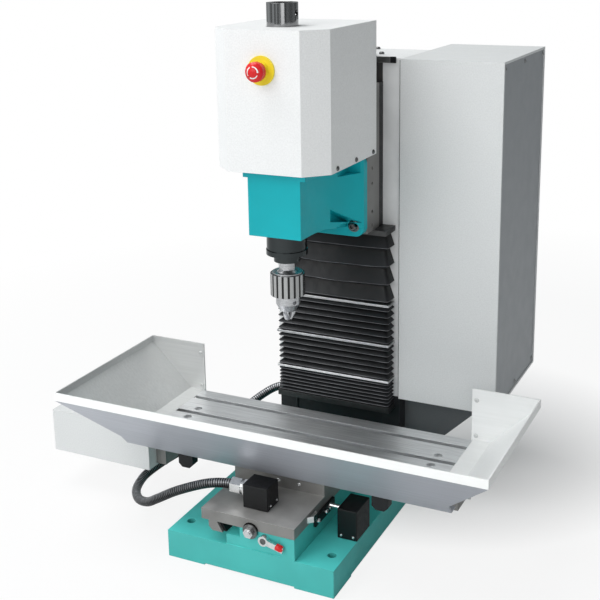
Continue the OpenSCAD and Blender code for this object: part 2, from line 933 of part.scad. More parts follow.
// Saddle: slab, two dovetail legs, and the raised block with the table's dovetail
module saddle() {
    y0 = fy(saddle_y);
    y1 = fy(saddle_y + saddle_l);
    foot = slab_z - leg_h;
    cut = (bed_top - foot) * slant;
    left = bed_half + gib_t / cos(slant_angle) + 2 * slide_gap;
    right = bed_half + slide_gap;
    wall = slab_w / 2 - wall_t - run_gap;
    color(iron)
        difference() {
            union() {
                block([-slab_w / 2, y0, slab_z], [slab_w / 2, y1, slab_top]);
                block([-slab_w / 2, y1 - xblock_d, slab_top], [slab_w / 2, y1, xblock_top]);
                along_y(y0, y1)
                    polygon([[-bed_half - leg_w, slab_z], [-bed_half - leg_w, foot + leg_chamfer],
                        [leg_chamfer - bed_half - leg_w, foot], [cut - left, foot], [-left, slab_z]]);
                along_y(y0 + lug_d + y_reach_back, y1)
                    polygon([[wall, slab_z], [wall, foot], [right - cut, foot], [right, slab_z]]);
            }
            along_x(-slab_w / 2 - over, slab_w / 2 + over)
                x_dovetail(2 * slide_gap, over);
            rod_x(screw_d + 2 * screw_room, -slab_w / 2 - over, slab_w / 2 + over, fy(table_mid_y),
                x_axis_z);
            rod_x(nut_d + 2 * fit_gap, x_nut_x, x_nut_x + nut_l, fy(table_mid_y), x_axis_z);
            rod_y(bearing_d + 2 * bearing_room, y0 - over, y1 + over, y_screw_x, y_axis_z);
            rod_y(nut_d + 2 * fit_gap, fy(table_mid_y) - nut_l, fy(table_mid_y), y_screw_x, y_axis_z);
        }
}

// Profile in Y and Z of the dovetail under the table, widened by a gap and raised at its top
module x_dovetail(gap, rise) {
    m = fy(table_mid_y);
    foot = table_z - xdove_h;
    neck = xdove_half - xdove_h * slant;
    polygon([[m - xdove_half - gap, foot - gap], [m + xdove_half + gap, foot - gap],
        [m + neck + gap, table_z], [m + neck + gap, table_z + rise],
        [m - neck - gap, table_z + rise], [m - neck - gap, table_z]]);
}

// Gib strip between the left leg and the bed
module y_gib() {
    foot = slab_z - leg_h;
    cut = (bed_top - foot) * slant;
    inner = bed_half + slide_gap;
    wide = gib_t / cos(slant_angle);
    color(bright)
        along_y(fy(saddle_y + gib_inset), fy(saddle_y + saddle_l - gib_inset))
            polygon([[-inner, slab_z - slide_gap], [cut - inner, foot], [cut - inner - wide, foot],
                [-inner - wide, slab_z - slide_gap]]);
}

// Ball nuts of the X and Y screws, both held by the saddle
module ball_nuts() {
    color(ground_steel) {
        difference() {
            rod_x(nut_d, x_nut_x, x_nut_x + nut_l, fy(table_mid_y), x_axis_z);
            rod_x(screw_d + 2 * fit_gap, x_nut_x - over, x_nut_x + nut_l + over, fy(table_mid_y), x_axis_z);
        }
        difference() {
            rod_y(nut_d, fy(table_mid_y) - nut_l, fy(table_mid_y), y_screw_x, y_axis_z);
            rod_y(screw_d + 2 * fit_gap, fy(table_mid_y) - nut_l - over, fy(table_mid_y) + over,
                y_screw_x, y_axis_z);
        }
    }
}

// Ramped bar on the saddle's right side that trips the Y switch
module y_trip_dog() {
    x0 = slab_w / 2;
    y0 = fy(saddle_y + dog_y);
    color(bright)
        translate([0, 0, yplunger_z - dog_h / 2])
            linear_extrude(dog_h)
                polygon([[x0, y0], [x0 + dog_t, y0 + dog_t], [x0 + dog_t, y0 + dog_l - dog_t],
                    [x0, y0 + dog_l]]);
}

// Adjusting screws of the two gibs
module gib_screws() {
    color(bright) {
        for (i = [0, 1])
            rod_y(gib_screw_d, fy(saddle_y + saddle_l - xblock_d) - gib_screw_h,
                fy(saddle_y + saddle_l - xblock_d),
                i * gib_screw_pitch, slab_top + xblock_h / 2 - gib_screw_drop);
        for (i = [-1 : 1])
            rod_x(gib_screw_d, -bed_half - leg_w - gib_screw_h, -bed_half - leg_w,
                fy(table_mid_y + i * gib_screw_pitch), slab_z - leg_h / 2 + gib_screw_d / 4);
    }
}

// T-slot table with its dovetail and the channel for screw and nut
module table() {
    m = fy(table_mid_y);
    color(ground_steel)
        difference() {
            union() {
                block([table_x0, fy(table_y0), table_z], [table_x1, fy(table_y1), table_top]);
                along_x(table_x0, table_x1)
                    x_dovetail(0, 0);
            }
            for (i = [-1 : 1])
                translate([table_x0 - over, m + i * slot_pitch, 0]) {
                    translate([0, -slot_neck / 2, table_top - slot_neck_h])
                        cube([table_l + 2 * over, slot_neck, slot_neck_h + over]);
                    translate([0, -slot_w / 2, table_top - slot_neck_h - slot_h])
                        cube([table_l + 2 * over, slot_w, slot_h + fit_gap]);
                }
            block([table_x0 - over, m - nut_d / 2 - nut_play, table_z - xdove_h - over],
                [table_x1 + over, m + nut_d / 2 + nut_play, x_axis_z + nut_d / 2 + nut_play]);
            for (x = [table_x0 + hole_inset, table_x1 - hole_inset], y = [-1, 1]) {
                rod_z(hole_d, table_z - over, table_top + over, x, m + y * hole_offset);
                rod_z(hole_sink_d, table_top - hole_sink_h, table_top + over, x, m + y * hole_offset);
            }
        }
}

// Outline in Y and Z of the front apron, from its foot flange up to the rim
function apron_line() = [[fy(table_y0), apron_foot_z], [fy(apron_foot_y), apron_foot_z],
    [fy(apron_y), rim_z - rim_h], [fy(apron_y), rim_z]];

// Outline in X and Z of the right tray end, from the table out to the rim
function end_line() = [[table_l / 2, tray_floor_z], [tray_fold, tray_floor_z],
    [tray_l / 2, rim_z - rim_h], [tray_l / 2, rim_z]];

// A sheet that follows a line of four points, thickened up and inwards
module folded_sheet(line, dx) {
    polygon([line[0], line[1], line[2], line[3], line[3] + [dx, 0], line[2] + [dx, tray_t],
        line[1] + [dx, tray_t], line[0] + [0, tray_t]]);
}

// Sloping apron with a bright rim along the front
module tray_front() {
    e = end_line();
    foot = apron_foot_z - over;
    color(silver_sheet)
        translate([table_x, 0, 0])
            intersection() {
                along_x(-tray_l / 2, tray_l / 2)
                    folded_sheet(apron_line(), tray_t);
                along_y(fy(apron_y) - over, fy(table_y0) + over)
                    polygon([[-e[1][0], foot], [e[1][0], foot], e[1], e[2], e[3] + [0, over],
                        [-e[3][0], e[3][1] + over], [-e[2][0], e[2][1]], [-e[1][0], e[1][1]]]);
            }
}

// One end of the tray: floor strip, sloping end and half back panel
module tray_end() {
    a = apron_line();
    e = end_line();
    inner = tray_l / 2 - back_panel_w;
    color(silver_sheet)
        intersection() {
            union() {
                along_y(fy(apron_y), fy(tray_back_y))
                    folded_sheet(e, -tray_t);
                along_y(fy(tray_back_y) - tray_t, fy(tray_back_y))
                    polygon([[inner, tray_floor_z], e[1], e[2], e[3], [inner, rim_z]]);
            }
            along_x(-over, tray_l)
                polygon([a[1] + [tray_t + fit_gap, 0], a[1] + [tray_t + fit_gap, tray_t],
                    a[2] + [tray_t + fit_gap, tray_t], a[3] + [tray_t + fit_gap, over],
                    [fy(tray_back_y) + over, rim_z + over], [fy(tray_back_y) + over, apron_foot_z]]);
        }
}

module tray_right() {
    translate([table_x, 0, 0])
        difference() {
            tray_end();
            table_end_room();
        }
}

module tray_left() {
    translate([table_x, 0, 0])
        mirror([1, 0, 0])
            difference() {
                tray_end();
                table_end_room();
            }
}

// The table's own end, which the back panel's foot stands clear of
module table_end_room() {
    block([0, fy(apron_y) - over, tray_floor_z - over], [table_l / 2 + fit_gap, fy(table_y1) + fit_gap,
        table_top + over]);
}

// Motor mount on the left end of the table and bearing block on the right
module x_screw_blocks() {
    m = fy(table_mid_y);
    color(iron)
        difference() {
            union() {
                block([table_x0 - block_t, m - block_w / 2, x_axis_z - block_below],
                    [table_x0, m + block_w / 2, tray_floor_z]);
                block([table_x1, m - end_block_w / 2, x_axis_z - end_block_below],
                    [table_x1 + end_block_t, m + end_block_w / 2, tray_floor_z]);
            }
            rod_x(shaft_d + 2 * fit_gap, table_x0 - block_t - over, table_x1 + end_block_t + over, m,
                x_axis_z);
        }
}

// White sheet cover over the X motor, with a window in its inner end
module x_motor_cover() {
    m = fy(table_mid_y);
    x1 = table_x0 - block_t;
    x0 = x1 - xcover_l;
    z0 = x_axis_z - xcover_below;
    half = motor_w / 2 + run_gap;
    color(white_sheet)
        difference() {
            block([x0, m - xcover_w / 2, z0], [x1, m + xcover_w / 2, z0 + xcover_h]);
            block([x0 + xcover_t, m - xcover_w / 2 + xcover_t, z0 + xcover_t],
                [x1 - xcover_t, m + xcover_w / 2 - xcover_t, z0 + xcover_h - xcover_t]);
            block([x1 - 2 * xcover_t, m - half, x_axis_z - half], [x1 + over, m + half, x_axis_z + half]);
        }
}

// Black blocks under the table's front edge that trip the X switch
module x_trip_dogs() {
    z1 = apron_foot_z - slide_gap;
    z0 = table_z - xdog_drop;
    color(black)
        for (s = [-1, 1])
            along_y(fy(table_y0 - xdog_d), fy(table_y0))
                translate([table_x + s * xdog_x, 0])
                    polygon([[-xdog_w / 2, z1], [-xdog_w / 2, z0 + xdog_ramp], [xdog_ramp - xdog_w / 2, z0],
                        [xdog_w / 2 - xdog_ramp, z0], [xdog_w / 2, z0 + xdog_ramp], [xdog_w / 2, z1]]);
}

// Button heads on the tray's back panels
module tray_screws() {
    y = fy(tray_back_y) - tray_t;
    color(bright)
        for (s = [-1, 1], z = [0, 1])
            rod_y(tray_screw_d, y - tray_screw_h, y,
                table_x + s * (tray_l / 2 - back_panel_w + tray_screw_inset),
                table_top + tray_screw_inset + z * tray_h * tray_screw_share);
}

// Plan of the head cover, drawn in by an inset
module cover_plan(inset, back) {
    w = cover_w / 2 - inset;
    f = fy(cover_front + inset);
    c = cover_chamfer - inset * (1 - tan(half_chamfer_angle));
    polygon([[w - c, f], [w, f + c], [w, fy(back)], [-w, fy(back)], [-w, f + c], [c - w, f]]);
}

// Plan of the casting: a block round the spindle, with hollow flanks that run out to the flange
module casting_plan() {
    difference() {
        polygon([[-block_half, fy(block_front)], [block_half, fy(block_front)], [block_half, fy(flank_y)],
            [flange_half, fy(flank_y)], [flange_half, fy(flange_front) + over],
            [-flange_half, fy(flange_front) + over], [-flange_half, fy(flank_y)],
            [-block_half, fy(flank_y)]]);
        for (s = [-1, 1])
            translate([s * (block_half + flank_r), fy(flank_y)])
                circle(flank_r);
    }
}

// Cuts in one flank of the casting: a wedge-shaped pocket, a notch under the cover and room for the bolt
module flank_cuts() {
    along_x(pocket_x, flange_half + over)
        polygon([[fy(pocket_y), head_z - pocket_drops[0]], [fy(pocket_y), head_z - pocket_drops[1]],
            [fy(flange_front - pocket_tip), head_z - pocket_drops[2]]]);
    block([notch_x, fy(flange_front - notch_wall - notch_l), head_z - notch_drop],
        [flange_half + over, fy(flange_front - notch_wall), head_z]);
    rod_y(head_washer_d + 2 * bolt_room, fy(flank_y), fy(flange_front), flange_half - head_bolt_inset,
        head_z - flange_drop + head_bolt_inset);
}

// Head casting: spindle block, flared web, flange on the slide and a seat for the cover
module head_casting() {
    low = head_z - block_drop;
    foot = head_z - flange_drop;
    seat_top = head_z + seat_h;
    web_y = spindle_y + nose_d / 2 + nose_room;
    color(teal)
        difference() {
            union() {
                translate([0, 0, low])
                    linear_extrude(block_drop)
                        casting_plan();
                translate([0, 0, head_z - lip_h])
                    linear_extrude(lip_h)
                        translate([-block_half - lip_w, fy(block_front)])
                            square([2 * (block_half + lip_w), lip_l]);
                along_y(fy(flange_front), fy(slide_front))
                    translate([0, head_z - flange_drop / 2])
                        round_rect(2 * flange_half, flange_drop, flange_r);
                intersection() {
                    translate([0, 0, foot])
                        linear_extrude(flange_drop)
                            casting_plan();
                    along_x(-flange_half, flange_half)
                        polygon([[fy(web_y), low + over], [fy(web_y), low],
                            [fy(flange_front) + over, foot + flange_r],
                            [fy(flange_front) + over, low + over]]);
                }
                translate([0, 0, head_z])
                    linear_extrude(seat_h)
                        cover_plan(cover_t + fit_gap, slide_front);
            }
            rod_z(2 * (bearing_r + fit_gap), low - over, low + bearing_h, 0, fy(spindle_y));
            rod_z(2 * (bearing_r + fit_gap), seat_top - bearing_h, seat_top + over, 0, fy(spindle_y));
            rod_z(2 * (shaft_r + shaft_room), low - over, seat_top + over, 0, fy(spindle_y));
            flank_cuts();
            mirror([1, 0, 0])
                flank_cuts();
        }
}

// White sheet cover with chamfered front corners, open below and behind
module head_cover() {
    color(white_sheet)
        translate([0, 0, head_z])
            difference() {
                linear_extrude(cover_h)
                    cover_plan(0, cover_back);
                translate([0, 0, -over])
                    linear_extrude(cover_h - cover_t + over)
                        cover_plan(cover_t, cover_back + over);
                translate([0, fy(spindle_y), 0])
                    cylinder(d = tube_d + 2 * tube_room, h = cover_h + over);
                translate([0, fy(cover_front) + cover_t + over, estop_rise])
                    rotate([90, 0, 0])
                        cylinder(d = estop_neck_d + 2 * fit_gap, h = cover_t + 2 * over);
            }
}

// Slide plate behind the flange, with holes for its adjusting screws
module z_slide_plate() {
    z0 = head_z - slide_drop;
    color(iron)
        difference() {
            block([-flange_half, fy(slide_front), z0], [flange_half, fy(way_front - slide_gap),
                z0 + slide_h]);
            for (z = gib_hole_rises)
                rod_x(gib_hole_d, flange_half - gib_hole_depth, flange_half + over, fy(gib_hole_y), z0 + z);
        }
}

// Bars behind the slide plate that grip the column's dovetail
module z_keeper_bars() {
    z0 = head_z - slide_drop;
    depth = bellows_back - way_front;
    color(black)
        translate([0, 0, z0])
            linear_extrude(slide_h)
                for (s = [-1, 1])
                    polygon([[s * (way_half + slide_gap + slide_gap * slant), fy(way_front - slide_gap)],
                        [s * flange_half, fy(way_front - slide_gap)], [s * flange_half, fy(bellows_back)],
                        [s * (way_half + slide_gap - depth * slant), fy(bellows_back)]]);
}

// Ball nut of the Z screw, on the back of the slide plate
module z_nut() {
    z0 = head_z - slide_drop + z_nut_rise;
    color(ground_steel)
        difference() {
            union() {
                block([-nut_d / 2, fy(way_front - slide_gap), z0], [nut_d / 2, fy(z_axis_y), z0 + nut_l]);
                rod_z(nut_d, z0, z0 + nut_l, 0, fy(z_axis_y));
            }
            rod_z(screw_d + 2 * fit_gap, z0 - over, z0 + nut_l + over, 0, fy(z_axis_y));
        }
}

// Bearings at both ends of the spindle's bore
module spindle_bearings() {
    color(bright)
        for (z = [head_z - block_drop, head_z + seat_h - bearing_h])
            difference() {
                rod_z(2 * bearing_r, z, z + bearing_h, 0, fy(spindle_y));
                rod_z(2 * (shaft_r + fit_gap), z - over, z + bearing_h + over, 0, fy(spindle_y));
            }
}

// Drive motor under the cover
module spindle_motor() {
    z0 = head_z + seat_h;
    z1 = z0 + spindle_motor_h;
    color(black)
        difference() {
            rod_z(spindle_motor_d, z0, z1, 0, fy(motor_y));
            rod_z(motor_shaft_d + 2 * fit_gap, z1 - motor_shaft_hold - over, z1 + over, 0, fy(motor_y));
        }
}

module motor_pulley() {
    color(ground_steel) {
        rod_z(motor_shaft_d, head_z + seat_h + spindle_motor_h - motor_shaft_hold, pulley_z, 0,
            fy(motor_y));
        rod_z(2 * motor_pulley_r, pulley_z, pulley_z + pulley_h, 0, fy(motor_y));
    }
}

// Outline of the belt round both pulleys, grown by a distance
module belt_loop(grow) {
    r1 = spindle_pulley_r + grow;
    r2 = motor_pulley_r + grow;
    lean = asin((r1 - r2) / (motor_y - spindle_y));
    translate([0, fy(spindle_y)])
        circle(r1);
    translate([0, fy(motor_y)])
        circle(r2);
    polygon([[r1 * cos(lean), fy(spindle_y) + r1 * sin(lean)], [r2 * cos(lean),
        fy(motor_y) + r2 * sin(lean)],
        [-r2 * cos(lean), fy(motor_y) + r2 * sin(lean)], [-r1 * cos(lean),
            fy(spindle_y) + r1 * sin(lean)]]);
}

module drive_belt() {
    color(black)
        translate([0, 0, pulley_z + (pulley_h - belt_w) / 2])
            linear_extrude(belt_w)
                difference() {
                    belt_loop(belt_t);
                    belt_loop(fit_gap);
                }
}

// Spindle: nose, chuck adapter, shaft, pulley and the tube that stands out of the cover
module spindle() {
    top = head_z + cover_h + tube_top;
    color(dark_sheet)
        translate([0, fy(spindle_y), 0])
            difference() {
                union() {
                    translate([0, 0, chuck_top])
                        cylinder(d = adapter_d, h = adapter_h);
                    translate([0, 0, nose_bottom])
                        cylinder(d = nose_d + 2 * nose_lip, h = nose_lip_h);
                    translate([0, 0, nose_bottom])
                        cylinder(d = nose_d - 2 * nose_lip, h = nose_lip_h + nose_groove + over);
                    translate([0, 0, nose_bottom + nose_lip_h + nose_groove])
                        cylinder(d = nose_d, h = nose_reach - run_gap - nose_lip_h - nose_groove);
                    translate([0, 0, nose_bottom])
                        cylinder(r = shaft_r, h = pulley_z - nose_bottom);
                    translate([0, 0, pulley_z])
                        cylinder(r = spindle_pulley_r, h = pulley_h);
                    translate([0, 0, pulley_z])
                        cylinder(d = tube_d, h = top - pulley_z);
                }
                translate([0, 0, pulley_z + pulley_h])
                    cylinder(d = tube_bore_d, h = top - pulley_z);
                translate([-tube_d, 0, top - tube_hole_drop])
                    rotate([0, 90, 0])
                        cylinder(d = tube_hole_d, h = 2 * tube_d);
            }
}

// A jaw's inclined round bar, from the tip to the given height
module jaw_bar(i, d, top) {
    rotate([0, 0, 120 * i + jaw_turn])
        translate([jaw_tip_r, 0, tip_z])
            rotate([0, jaw_tilt, 0])
                cylinder(d = d, h = (top - tip_z) / cos(jaw_tilt));
}

// Chuck body with inclined bores for the jaws and radial holes for the key
module chuck_body() {
    color(bright)
        translate([0, fy(spindle_y), 0])
            difference() {
                rotate_extrude()
                    polygon([[0, body_z], [body_r - snout_taper, body_z], [body_r, body_z + snout_taper_h],
                        [body_r, sleeve_z], [core_r, sleeve_z], [core_r, sleeve_top + run_gap],
                        [cap_r, sleeve_top + run_gap], [cap_r, sleeve_top + run_gap + cap_h],
                        [neck_r + neck_flare, sleeve_top + run_gap + cap_h],
                        [neck_r, sleeve_top + run_gap + cap_h + neck_flare], [neck_r, chuck_top],
                        [0, chuck_top]]);
                for (i = [0 : 2]) {
                    jaw_bar(i, jaw_d + 2 * jaw_gap, jaw_top + jaw_travel + jaw_play);
                    rotate([0, 0, 120 * i + jaw_turn + key_hole_turn])
                        translate([body_r - key_hole_d, 0, body_z + key_hole_rise])
                            rotate([0, 90, 0])
                                cylinder(d = key_hole_d, h = 2 * key_hole_d);
                }
            }
}

// Fluted sleeve that opens and closes the jaws
module chuck_sleeve() {
    color(bright)
        translate([0, fy(spindle_y), 0])
            difference() {
                rod_z(sleeve_d, sleeve_z, sleeve_top, 0, 0);
                rod_z(2 * (core_r + run_gap), sleeve_z - over, sleeve_top + over, 0, 0);
                for (i = [0 : flutes - 1])
                    rotate([0, 0, 360 * i / flutes])
                        rod_z(flute_d, sleeve_z + flute_margin, sleeve_top - flute_margin,
                            sleeve_d / 2 + flute_out, 0);
            }
}

// Sector that one jaw may fill, so that the three close on each other without touching
module jaw_sector(i) {
    edge = jaw_travel * sin(jaw_tilt) + jaw_gap;
    reach = 2 * core_r;
    rotate([0, 0, 120 * i + jaw_turn])
        translate([edge, 0, tip_z - over])
            linear_extrude(jaw_top - tip_z + 2 * over)
                polygon([[0, 0], [reach, -reach * tan(jaw_half_angle)],
                    [reach, reach * tan(jaw_half_angle)]]);
}

// One jaw: the inclined bar with gripping flats and its tip turned to a cone
module chuck_jaw(i) {
    color(ground_steel)
        translate([0, fy(spindle_y), 0])
            intersection() {
                jaw_bar(i, jaw_d, jaw_top);
                jaw_sector(i);
                union() {
                    translate([0, 0, tip_z])
                        cylinder(r1 = jaw_cone_r, r2 = jaw_cone_top_r, h = jaw_reach);
                    translate([0, 0, tip_z + jaw_reach])
                        cylinder(r = core_r, h = jaw_top - tip_z);
                }
            }
}

module chuck_jaw_1() {
    chuck_jaw(0);
}

module chuck_jaw_2() {
    chuck_jaw(1);
}

module chuck_jaw_3() {
    chuck_jaw(2);
}

// Button heads of the cover and bolts of the flange
module head_screws() {
    z = head_z + seat_h / 2;
    foot = head_z - flange_drop + head_bolt_inset;
    color(bright)
        for (s = [0, 1])
            mirror([s, 0, 0]) {
                for (k = head_button_shares)
                    rod_x(head_button_d, cover_w / 2, cover_w / 2 + head_button_h,
                        fy(cover_front + k * (cover_back - cover_front)), z);
                rod_y(head_washer_d, fy(flange_front) - head_washer_h, fy(flange_front),
                    flange_half - head_bolt_inset, foot);
                rod_y(head_bolt_d, fy(flange_front) - head_washer_h - head_bolt_h,
                    fy(flange_front) - head_washer_h,
                    flange_half - head_bolt_inset, foot);
            }
}

// Emergency stop: plate and collar on the cover, with the switch body behind it
module estop_base() {
    z = head_z + estop_rise;
    front = cover_front - estop_disc_t - estop_collar_h;
    color(yellow)
        difference() {
            union() {
                rod_y(estop_disc_d, fy(cover_front - estop_disc_t), fy(cover_front), 0, z);
                rod_y(estop_collar_d, fy(front), fy(cover_front), 0, z);
                rod_y(estop_neck_d, fy(cover_front), fy(cover_front + estop_depth), 0, z);
            }
            rod_y(estop_stem_d + 2 * fit_gap, fy(front) - over,
                fy(cover_front + estop_stem_back + estop_travel + run_gap), 0, z);
        }
}

module estop_stem() {
    front = cover_front - estop_disc_t - estop_collar_h - estop_travel - estop_play - estop_stem_hold;
    color(bright)
        rod_y(estop_stem_d, fy(front), fy(cover_front + estop_stem_back), 0, head_z + estop_rise);
}

// Red mushroom with a domed front
module estop_knob() {
    back = cover_front - estop_disc_t - estop_collar_h - estop_travel - estop_play;
    color(red)
        translate([0, fy(back), head_z + estop_rise])
            rotate([90, 0, 0])
                difference() {
                    rotate_extrude()
                        intersection() {
                            translate([0, estop_knob_h - estop_dome_r])
                                circle(estop_dome_r);
                            square([estop_d / 2, estop_knob_h]);
                        }
                    translate([0, 0, -over])
                        cylinder(d = estop_stem_d + 2 * fit_gap, h = estop_stem_hold + over + fit_gap);
                }
}

// Ribbed cable between the two glands
function conduit_route() = concat(
    [for (p = loop_front) p + [-switch_w / 2, fy(saddle_y + gland_y), gland_z]],
    [for (p = loop_back) p + [-column_w / 2 - cover_gap - sheet_t, fy(rear_gland_y), rear_gland_z]]);

function conduit_ring(route, i) = let (
    last = len(route) - 1,
    t = unit(route[min(i + 1, last)] - route[max(i - 1, 0)]),
    side = unit(cross(t, [0, 0, 1])),
    up = cross(side, t))
    [for (k = [0 : conduit_sides - 1]) route[i] + conduit_d / 2
        * (cos(360 * k / conduit_sides) * side + sin(360 * k / conduit_sides) * up)];

module conduit() {
    route = conduit_route();
    n = conduit_sides;
    last = len(route) - 1;
    color(black)
        polyhedron(
            points = [for (i = [0 : last]) each conduit_ring(route, i)],
            faces = concat(
                [[for (i = [0 : n - 1]) n - 1 - i]],
                [[for (i = [0 : n - 1]) last * n + i]],
                [for (j = [0 : last - 1], i = [0 : n - 1])
                    [j * n + i, j * n + (i + 1) % n, (j + 1) * n + (i + 1) % n, (j + 1) * n + i]]));
}

base_casting();
column();
column_cover();
column_top_cover();
cabinet_shell();
cabinet_side_panel();
cabinet_bracket();
cabinet_screws();
motor_drives();
bellows();
bellows_strips();
bellows_bottom_plate();
feed_motors();
y_front_bearing();
y_limit_switch();
cable_gland();
y_screw();
z_screw();
lock_lever();
y_plunger();
saddle();
y_gib();
ball_nuts();
x_limit_switch();
switch_gland();
conduit();
y_trip_dog();
gib_screws();
x_plunger();
table();
tray_front();
tray_left();
tray_right();
x_motor();
x_screw_blocks();
x_motor_cover();
x_trip_dogs();
tray_screws();
x_screw();
head_casting();
head_cover();
z_slide_plate();
z_keeper_bars();
z_nut();
spindle_motor();
drive_belt();
spindle_bearings();
head_screws();
estop_base();
bellows_bracket();
spindle();
chuck_body();
motor_pulley();
chuck_sleeve();
chuck_jaw_1();
chuck_jaw_2();
chuck_jaw_3();
estop_stem();
estop_knob();
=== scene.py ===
"""Dresses a small three-axis bench milling machine: finishes, bellows, cable, screws and the photo stage.

The CAD frame is loaded at the top, so every default below can come from it. Sizes are metres,
apart from those that say millimetres.
"""

import math

import bmesh
import bpy
from mathutils import Matrix, Vector


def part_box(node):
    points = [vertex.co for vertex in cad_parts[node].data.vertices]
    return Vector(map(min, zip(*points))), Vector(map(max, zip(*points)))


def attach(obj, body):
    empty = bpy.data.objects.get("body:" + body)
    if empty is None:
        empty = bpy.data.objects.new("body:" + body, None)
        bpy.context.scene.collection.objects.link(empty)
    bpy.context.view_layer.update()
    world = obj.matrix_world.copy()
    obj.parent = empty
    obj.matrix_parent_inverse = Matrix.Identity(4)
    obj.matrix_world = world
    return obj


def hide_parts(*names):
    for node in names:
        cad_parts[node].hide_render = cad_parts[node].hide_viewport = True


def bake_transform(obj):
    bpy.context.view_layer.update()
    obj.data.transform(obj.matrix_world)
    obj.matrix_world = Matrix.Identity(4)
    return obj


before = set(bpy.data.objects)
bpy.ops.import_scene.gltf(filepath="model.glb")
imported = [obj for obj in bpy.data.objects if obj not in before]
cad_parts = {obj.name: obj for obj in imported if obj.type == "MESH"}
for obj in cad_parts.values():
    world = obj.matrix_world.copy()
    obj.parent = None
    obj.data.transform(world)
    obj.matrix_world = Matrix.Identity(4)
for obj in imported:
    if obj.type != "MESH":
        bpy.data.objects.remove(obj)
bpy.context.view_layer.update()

bl_info = {
    "name": "Bench mill finishes",
    "version": (1, 0, 0),
    "blender": (4, 5, 0),
    "location": "View3D > Sidebar > Mill",
    "description": "Finishes, bellows, cable and screws for a bench milling machine",
    "category": "Object",
}

MM = 0.001
# Points nearer than this are one point, and faces that turn less than this are one face
SAME_POINT, SAME_FACE = 0.01 * MM, math.radians(1)


# Shared helpers


def linear(code):
    """An sRGB hex colour as linear red, green and blue."""
    parts = [int(code[i:i + 2], 16) / 255 for i in (1, 3, 5)]
    return [c / 12.92 if c <= 0.04045 else ((c + 0.055) / 1.055) ** 2.4 for c in parts]


def hex_colour(name, description, code):
    """A colour property whose default is an sRGB hex colour."""
    return bpy.props.FloatVectorProperty(
        name=name, description=description, subtype="COLOR", size=3, min=0, max=1, default=linear(code))


def length(name, description, metres):
    """A length property in metres."""
    return bpy.props.FloatProperty(
        name=name, description=description, default=metres, min=0, unit="LENGTH")


def fill(tree, made, inputs):
    """Sets or links the inputs of a node."""
    for key, value in inputs.items():
        if isinstance(value, bpy.types.NodeSocket):
            tree.links.new(value, made.inputs[key])
        else:
            made.inputs[key].default_value = value
    return made


def node(tree, kind, inputs=None, **settings):
    """Adds a node with its settings and its inputs."""
    made = tree.nodes.new(kind)
    for key, value in settings.items():
        setattr(made, key, value)
    return fill(tree, made, inputs or {})


def add_object(name, data):
    """Links a mesh, a curve, a light or a camera to the scene as an object at the origin."""
    made = bpy.data.objects.new(name, data)
    bpy.context.scene.collection.objects.link(made)
    return made


def mesh_from(name, points, faces, smooth=True):
    """A mesh from points and faces."""
    mesh = bpy.data.meshes.new(name)
    mesh.from_pydata([tuple(p) for p in points], [], faces)
    mesh.update()
    mesh.polygons.foreach_set("use_smooth", [smooth] * len(mesh.polygons))
    return mesh


def ring_points(profile, sides):
    """Points round the Z axis for each radius and height of a profile."""
    turns = [2 * math.pi * i / sides for i in range(sides)]
    return [Vector((r * math.cos(a), r * math.sin(a), z)) for r, z in profile for a in turns]


def ring_faces(rings, sides):
    """The faces between closed rings of points, and the two that close the ends."""
    faces = []
    for start in range(0, (rings - 1) * sides, sides):
        for i in range(sides):
            after = (i + 1) % sides
            faces.append((start + i, start + after, start + sides + after, start + sides + i))
    faces.append([sides - 1 - i for i in range(sides)])
    faces.append([(rings - 1) * sides + i for i in range(sides)])
    return faces


def bake(piece):
    """Turns an object with modifiers into a plain mesh."""
    graph = bpy.context.evaluated_depsgraph_get()
    mesh = bpy.data.meshes.new_from_object(piece.evaluated_get(graph))
    piece.modifiers.clear()
    if piece.type == "MESH":
        piece.data = mesh
        return piece
    made = add_object(piece.name + "_mesh", mesh)
    bpy.data.objects.remove(piece)
    return made


def piece_from(name, points, faces, look, smooth=True):
    """An object from points and faces, with its finish."""
    mesh = mesh_from(name, points, faces, smooth)
    mesh.materials.append(finish(look))
    return add_object(name, mesh)


def merged_copy(part):
    """A copy of a CAD node's mesh, with its doubles merged and its flat faces joined."""
    shape = bmesh.new()
    shape.from_mesh(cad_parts[part].data)
    bmesh.ops.remove_doubles(shape, verts=shape.verts, dist=SAME_POINT)
    bmesh.ops.dissolve_limit(shape, angle_limit=SAME_FACE, verts=shape.verts, edges=shape.edges)
    return shape


def object_from(name, shape, look):
    """An object from a working mesh, with its finish."""
    mesh = bpy.data.meshes.new(name)
    shape.to_mesh(mesh)
    shape.free()
    mesh.materials.append(finish(look))
    return add_object(name, mesh)


def soften(piece, width, steps, limit):
    """Rounds a piece's edges and makes it a plain mesh."""
    edge = piece.modifiers.new("edge", "BEVEL")
    edge.width, edge.segments, edge.limit_method = width, steps, limit
    return bake(piece)


# Node helpers

# The wave texture multiplies its place by this before it takes the sine
WAVE_UNIT = 20
# Upward part of the normal over which a face comes to count as a top that gets painted light
UPWARD = (0.85, 0.95)


def calc(tree, operation, first, second=0.0):
    """The result of a sum on one or two values."""
    return node(tree, "ShaderNodeMath", {0: first, 1: second}, operation=operation).outputs["Value"]


def ramp(tree, value, start, end, low=0.0, high=1.0):
    """Goes from low to high while a value goes from start to end."""
    return node(tree, "ShaderNodeMapRange", {
        "Value": value, "From Min": start, "From Max": end, "To Min": low, "To Max": high}).outputs["Result"]


def between(tree, factor, first, second):
    """A value between two values."""
    return node(tree, "ShaderNodeMix", {0: factor, 2: first, 3: second}, data_type="FLOAT").outputs[0]


def axes_of(tree, vector):
    """The X, Y and Z of a vector."""
    return node(tree, "ShaderNodeSeparateXYZ", {"Vector": vector}).outputs


